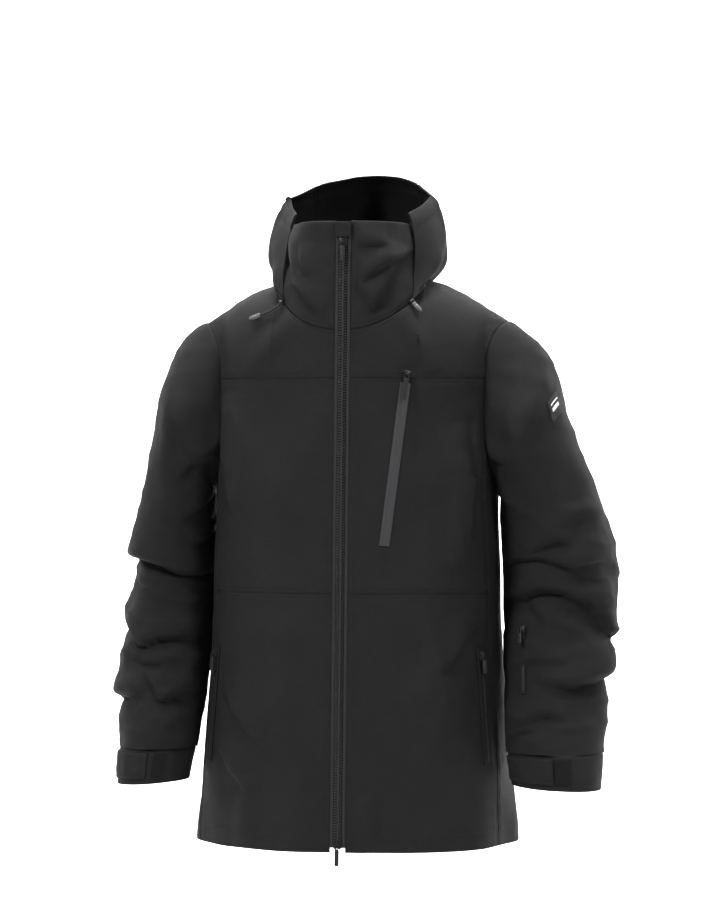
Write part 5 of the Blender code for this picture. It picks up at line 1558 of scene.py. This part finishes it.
def powder_skirt():
    def skirt(u, v):
        return body(round_inside(u), mix(SKIRT_LOW_Z, SKIRT_HIGH_Z, v))

    def pleats(P, SU, SV, U, V):
        return 0.0009 * np.sin(SU * 2 * math.pi / 0.034) * (1 - 0.5 * V) - 0.0005 * bell(V, 0.12, 0.03)
    obj = cloth("powder_skirt_cloth", skirt, steps(220), steps(16), depth=0.0160, wall=0.0012, lift=pleats,
                materials=(LINING, LINING), rolled=("v0", "v1"))
    on_body(obj, "powder_skirt", slot="lining")


def pocket_bags():
    for node in ("chest_pocket_bag", "hand_pocket_bag_left", "hand_pocket_bag_right"):
        low_corner, high_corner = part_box(node)
        sign = -1 if high_corner.x < 0 else 1

        def bag(u, v, a=low_corner, b=high_corner, sign=sign):
            first, last = sorted((abs(a.x), abs(b.x)))
            return on_front(sign * mix(first, last, u), mix(a.z, b.z, v))
        obj = cloth(f"{node}_cloth", bag, steps(26), steps(34), hand=sign, depth=0.0050, wall=0.0022,
                    lift=noise_lift(0.03, 31.0, 0.0004), materials=(TRICOT, TRICOT), rolled=("v0", "v1"))
        on_body(obj, node, slot="lining")


def press_stud():
    middle, half = middle_and_half("powder_skirt_snap")
    made = Parts()
    made.loft(middle, (Vector((1, 0, 0)), Vector((0, 0, 1)), Vector((0, 1, 0))),
              [(half.y * s, half.x * r, half.x * r) for s, r in
               ((-1, 0.90), (-0.6, 1), (0.2, 1), (0.5, 0.86), (0.55, 0.55), (1, 0.48))], 32, 2.0)
    on_body(made.made("press_stud", METAL), "powder_skirt_snap", slot="metal")


BADGE_ROWS = 6.95  # ring positions of the sleeve that a share of 1 stands for


def badge():
    """A plain patch with two light bars."""
    rings = sleeve_rings("left")
    sleeve_height = sleeve_lift("left")
    for name, across, down, depth, made_of, nodes, (columns, rows) in (
            ("badge_patch", (0.062, 0.128), (0.345, 0.418), -0.0009, BADGE, ("sleeve_badge",), (26, 20)),
            ("badge_bar", (0.074, 0.116), (0.381, 0.391), -0.0013, BADGE_MARK, (), (20, 5)),
            ("badge_line", (0.074, 0.116), (0.365, 0.368), -0.0013, BADGE_MARK, (), (20, 5))):
        def surface(u, v, across=across, down=down):
            return sleeve(rings, mix(*across, u), mix(*down, v) * BADGE_ROWS)

        def lift(P, SU, SV, U, V, across=across, down=down):
            return sleeve_height(P, SU, SV, mix(*across, U), mix(*down, V) * BADGE_ROWS)
        obj = cloth(name, surface, steps(columns), steps(rows), depth=depth, wall=0.0008, lift=lift,
                    materials=(made_of,), rolled=("v0", "v1"))
        on_body(obj, *nodes, body="sleeve_upper_left", slot="badge")


ROUTE = ((-0.0870, -0.0935, -0.0345), (-0.0912, -0.0950, -0.0385), (-0.0960, -0.0952, -0.0418),
         (-0.1012, -0.0948, -0.0446), (-0.1066, -0.0938, -0.0468), (-0.1130, -0.0924, -0.0488))


CORD_END_PROFILE = ((0.0, 0.0024), (0.0006, 0.0029), (0.0016, 0.0031), (0.0036, 0.0030), (0.0042, 0.0026),
                    (0.0048, 0.0026), (0.0054, 0.0030), (0.0090, 0.0028), (0.0130, 0.0024), (0.0150, 0.0021),
                    (0.0158, 0.0016), (0.0160, 0.0010))
EYELET_PROFILE = ((0.0, 0.0026), (0.0004, 0.0033), (0.0010, 0.0035), (0.0030, 0.0034), (0.0040, 0.0028))


def turned_piece(name, start, along, profile, made_of, sides_square, flat=1.0):
    """A piece turned about its axis, from a profile of (along, radius)."""
    guide = along.orthogonal().normalized()
    made = Parts()
    made.loft(start, (guide, along.cross(guide), along), [(s, r, r * flat) for s, r in profile], 24, sides_square)
    return made.made(name, made_of)


def end_piece(name, start, along, node):
    return on_body(turned_piece(name, start, along, CORD_END_PROFILE, CORD_END, 2.2, 0.92), node, slot="cord_end")


def hood_cords():
    route = [Vector(point) for point in ROUTE]
    count = 8
    path = [Vector([catmull([p[k] for p in route], i / count) for k in range(3)])
            for i in range(count * (len(route) - 1) + 1)]
    tube = Parts()
    tube.tube(path, 0.0015, 16, relief=lambda i, a: 0.05 * math.sin(3 * a + i * 0.9) * math.sin(3 * a - i * 0.9))
    obj = on_body(tube.made("hood_cord", CORD), "hood_cord_right", slot="cord")
    along = (route[-1] - route[-2]).normalized()
    end = end_piece("cord_end_of_hood_cord", route[-1] + along * TOUCH_GAP, along, "cord_end_right")
    back = (route[0] - route[1]).normalized()
    other, away = mirrored(route[0]), mirrored(back)
    end_piece("cord_end_far", other - away * TOUCH_GAP, -away, "cord_end_left")
    for side, exit_point, inwards in (("right", route[0], back), ("left", other, away)):
        obj = turned_piece(f"eyelet_{side}", exit_point + inwards * TOUCH_GAP, inwards, EYELET_PROFILE, METAL, 2.0)
        on_body(obj, f"cord_eyelet_{side}", slot="metal")


ADJUSTER_RISE = 0.62


def hood_adjuster():
    place, e = hood(math.pi, ADJUSTER_RISE), 1e-3
    rise = hood(math.pi, ADJUSTER_RISE + e) - hood(math.pi, ADJUSTER_RISE - e)
    across = Vector((1, 0, 0))
    out = across.cross(rise).normalized()
    if out.dot(middle_and_half("hood_adjuster")[0] - place) < 0:
        out = -out
    made = Parts()
    made.loft(place + out * 0.0045, (out, across.cross(out), across),
              [(-0.0100, 0.0020, 0.0040), (-0.0090, 0.0031, 0.0054), (-0.0060, 0.0035, 0.0060),
               (0.0060, 0.0035, 0.0060), (0.0090, 0.0031, 0.0054), (0.0100, 0.0020, 0.0040)], 24, 3.2)
    on_body(made.made("hood_adjuster_lock", RUBBER), "hood_adjuster", body="hood", slot="rubber")


# --- camera, lights and floor --------------------------------------------------------------------

AZIMUTH, DISTANCE, FRAME_HEIGHT = math.radians(9.0), 4.2, 1.188
AIM_RIGHT, AIM_Z = 0.003, -0.224
SENSOR = 36.0


def camera():
    data = bpy.data.cameras.new("camera")
    data.sensor_width = SENSOR
    data.lens = SENSOR * DISTANCE / FRAME_HEIGHT
    obj = linked("camera", data)
    back = Vector((math.sin(AZIMUTH), -math.cos(AZIMUTH), 0))
    right = Vector((math.cos(AZIMUTH), math.sin(AZIMUTH), 0))
    obj.location = right * AIM_RIGHT + Vector((0, 0, AIM_Z)) + back * DISTANCE
    obj.rotation_mode = "QUATERNION"
    obj.rotation_quaternion = (-back).to_track_quat("-Z", "Y")
    bpy.context.scene.camera = obj


LIGHTS = (
    ("key", (-1.7, -2.0, 2.1), (0, 0, -0.3), (0.8, 0.8), 175),
    ("fill", (2.2, -2.0, 1.3), (0, 0, -0.3), (0.8, 1.0), 75),
    ("top", (0.2, -0.2, 2.5), (0, 0, -0.2), (1.2, 0.6), 45),
    ("wall", (0.0, 0.6, 3.2), (0, 2.4, -0.4), (5.0, 1.0), 420),
    ("wall_low", (0.0, 1.0, -1.1), (0, 2.4, -0.6), (5.0, 0.3), 40),
)
FLOOR_Z, WALL_Y, WALL_TOP, CORNER_RADIUS, ROOM_REACH = HEM_Z - 0.60, 2.4, 7.0, 1.0, 9.0


def studio_material():
    """Pale and slightly uneven. The sheet lets the view through from its back, so that the back can be looked at."""
    made, tree, shader = material("studio_floor", 0.9)
    places = tree.nodes.new("ShaderNodeTexCoord").outputs["Object"]
    colours = ramp(tree, noise_node(tree, places, 0.6), ((0.3, (0.90, 0.90, 0.90)), (0.7, (0.93, 0.93, 0.93))))
    clear = tree.nodes.new("ShaderNodeBsdfTransparent")
    sides = tree.nodes.new("ShaderNodeMixShader")
    link_all(tree, (colours, shader.inputs["Base Color"]),
             (tree.nodes.new("ShaderNodeNewGeometry").outputs["Backfacing"], sides.inputs["Fac"]),
             (shader.outputs[0], sides.inputs[1]), (clear.outputs[0], sides.inputs[2]),
             (sides.outputs[0], tree.nodes["Material Output"].inputs["Surface"]))
    return made


def studio():
    """Floor and wall in one bent sheet, the lights, and a weak even light all round."""
    bend = [(WALL_Y - CORNER_RADIUS + CORNER_RADIUS * math.sin(a),
             FLOOR_Z + CORNER_RADIUS - CORNER_RADIUS * math.cos(a)) for a in steps(12, 0, QUARTER)]
    rows = [(-ROOM_REACH, FLOOR_Z)] + bend + [(WALL_Y, WALL_TOP)]
    verts = [(x, y, z) for y, z in rows for x in (-ROOM_REACH, ROOM_REACH)]
    faces = [(2 * i, 2 * i + 1, 2 * i + 3, 2 * i + 2) for i in range(len(rows) - 1)]
    floor = finish_mesh("studio", verts, faces, (studio_material(),))
    floor.data.flip_normals()  # its front faces the jacket
    world = bpy.data.worlds.new("studio_light")
    world.use_nodes = True
    world.node_tree.nodes["Background"].inputs["Color"].default_value = (1, 1, 1, 1)
    world.node_tree.nodes["Background"].inputs["Strength"].default_value = 0.17
    bpy.context.scene.world = world
    bpy.context.scene.view_settings.view_transform = "Standard"
    for name, place, target, size, power in LIGHTS:
        data = bpy.data.lights.new(name, "AREA")
        data.shape = "RECTANGLE"
        data.size, data.size_y = size
        data.energy = power
        light = linked(name, data)
        light.location = place
        light.rotation_euler = (Vector(target) - Vector(place)).to_track_quat("-Z", "Y").to_euler()


camera()
hood_cords()
body_pieces()
collar_and_hood()
sleeves()
main_zip()
pocket_zips()
zip_garage()
storm_flap()
hanger_loop()
body_lining()
powder_skirt()
pocket_bags()
press_stud()
badge()
hood_adjuster()
studio()
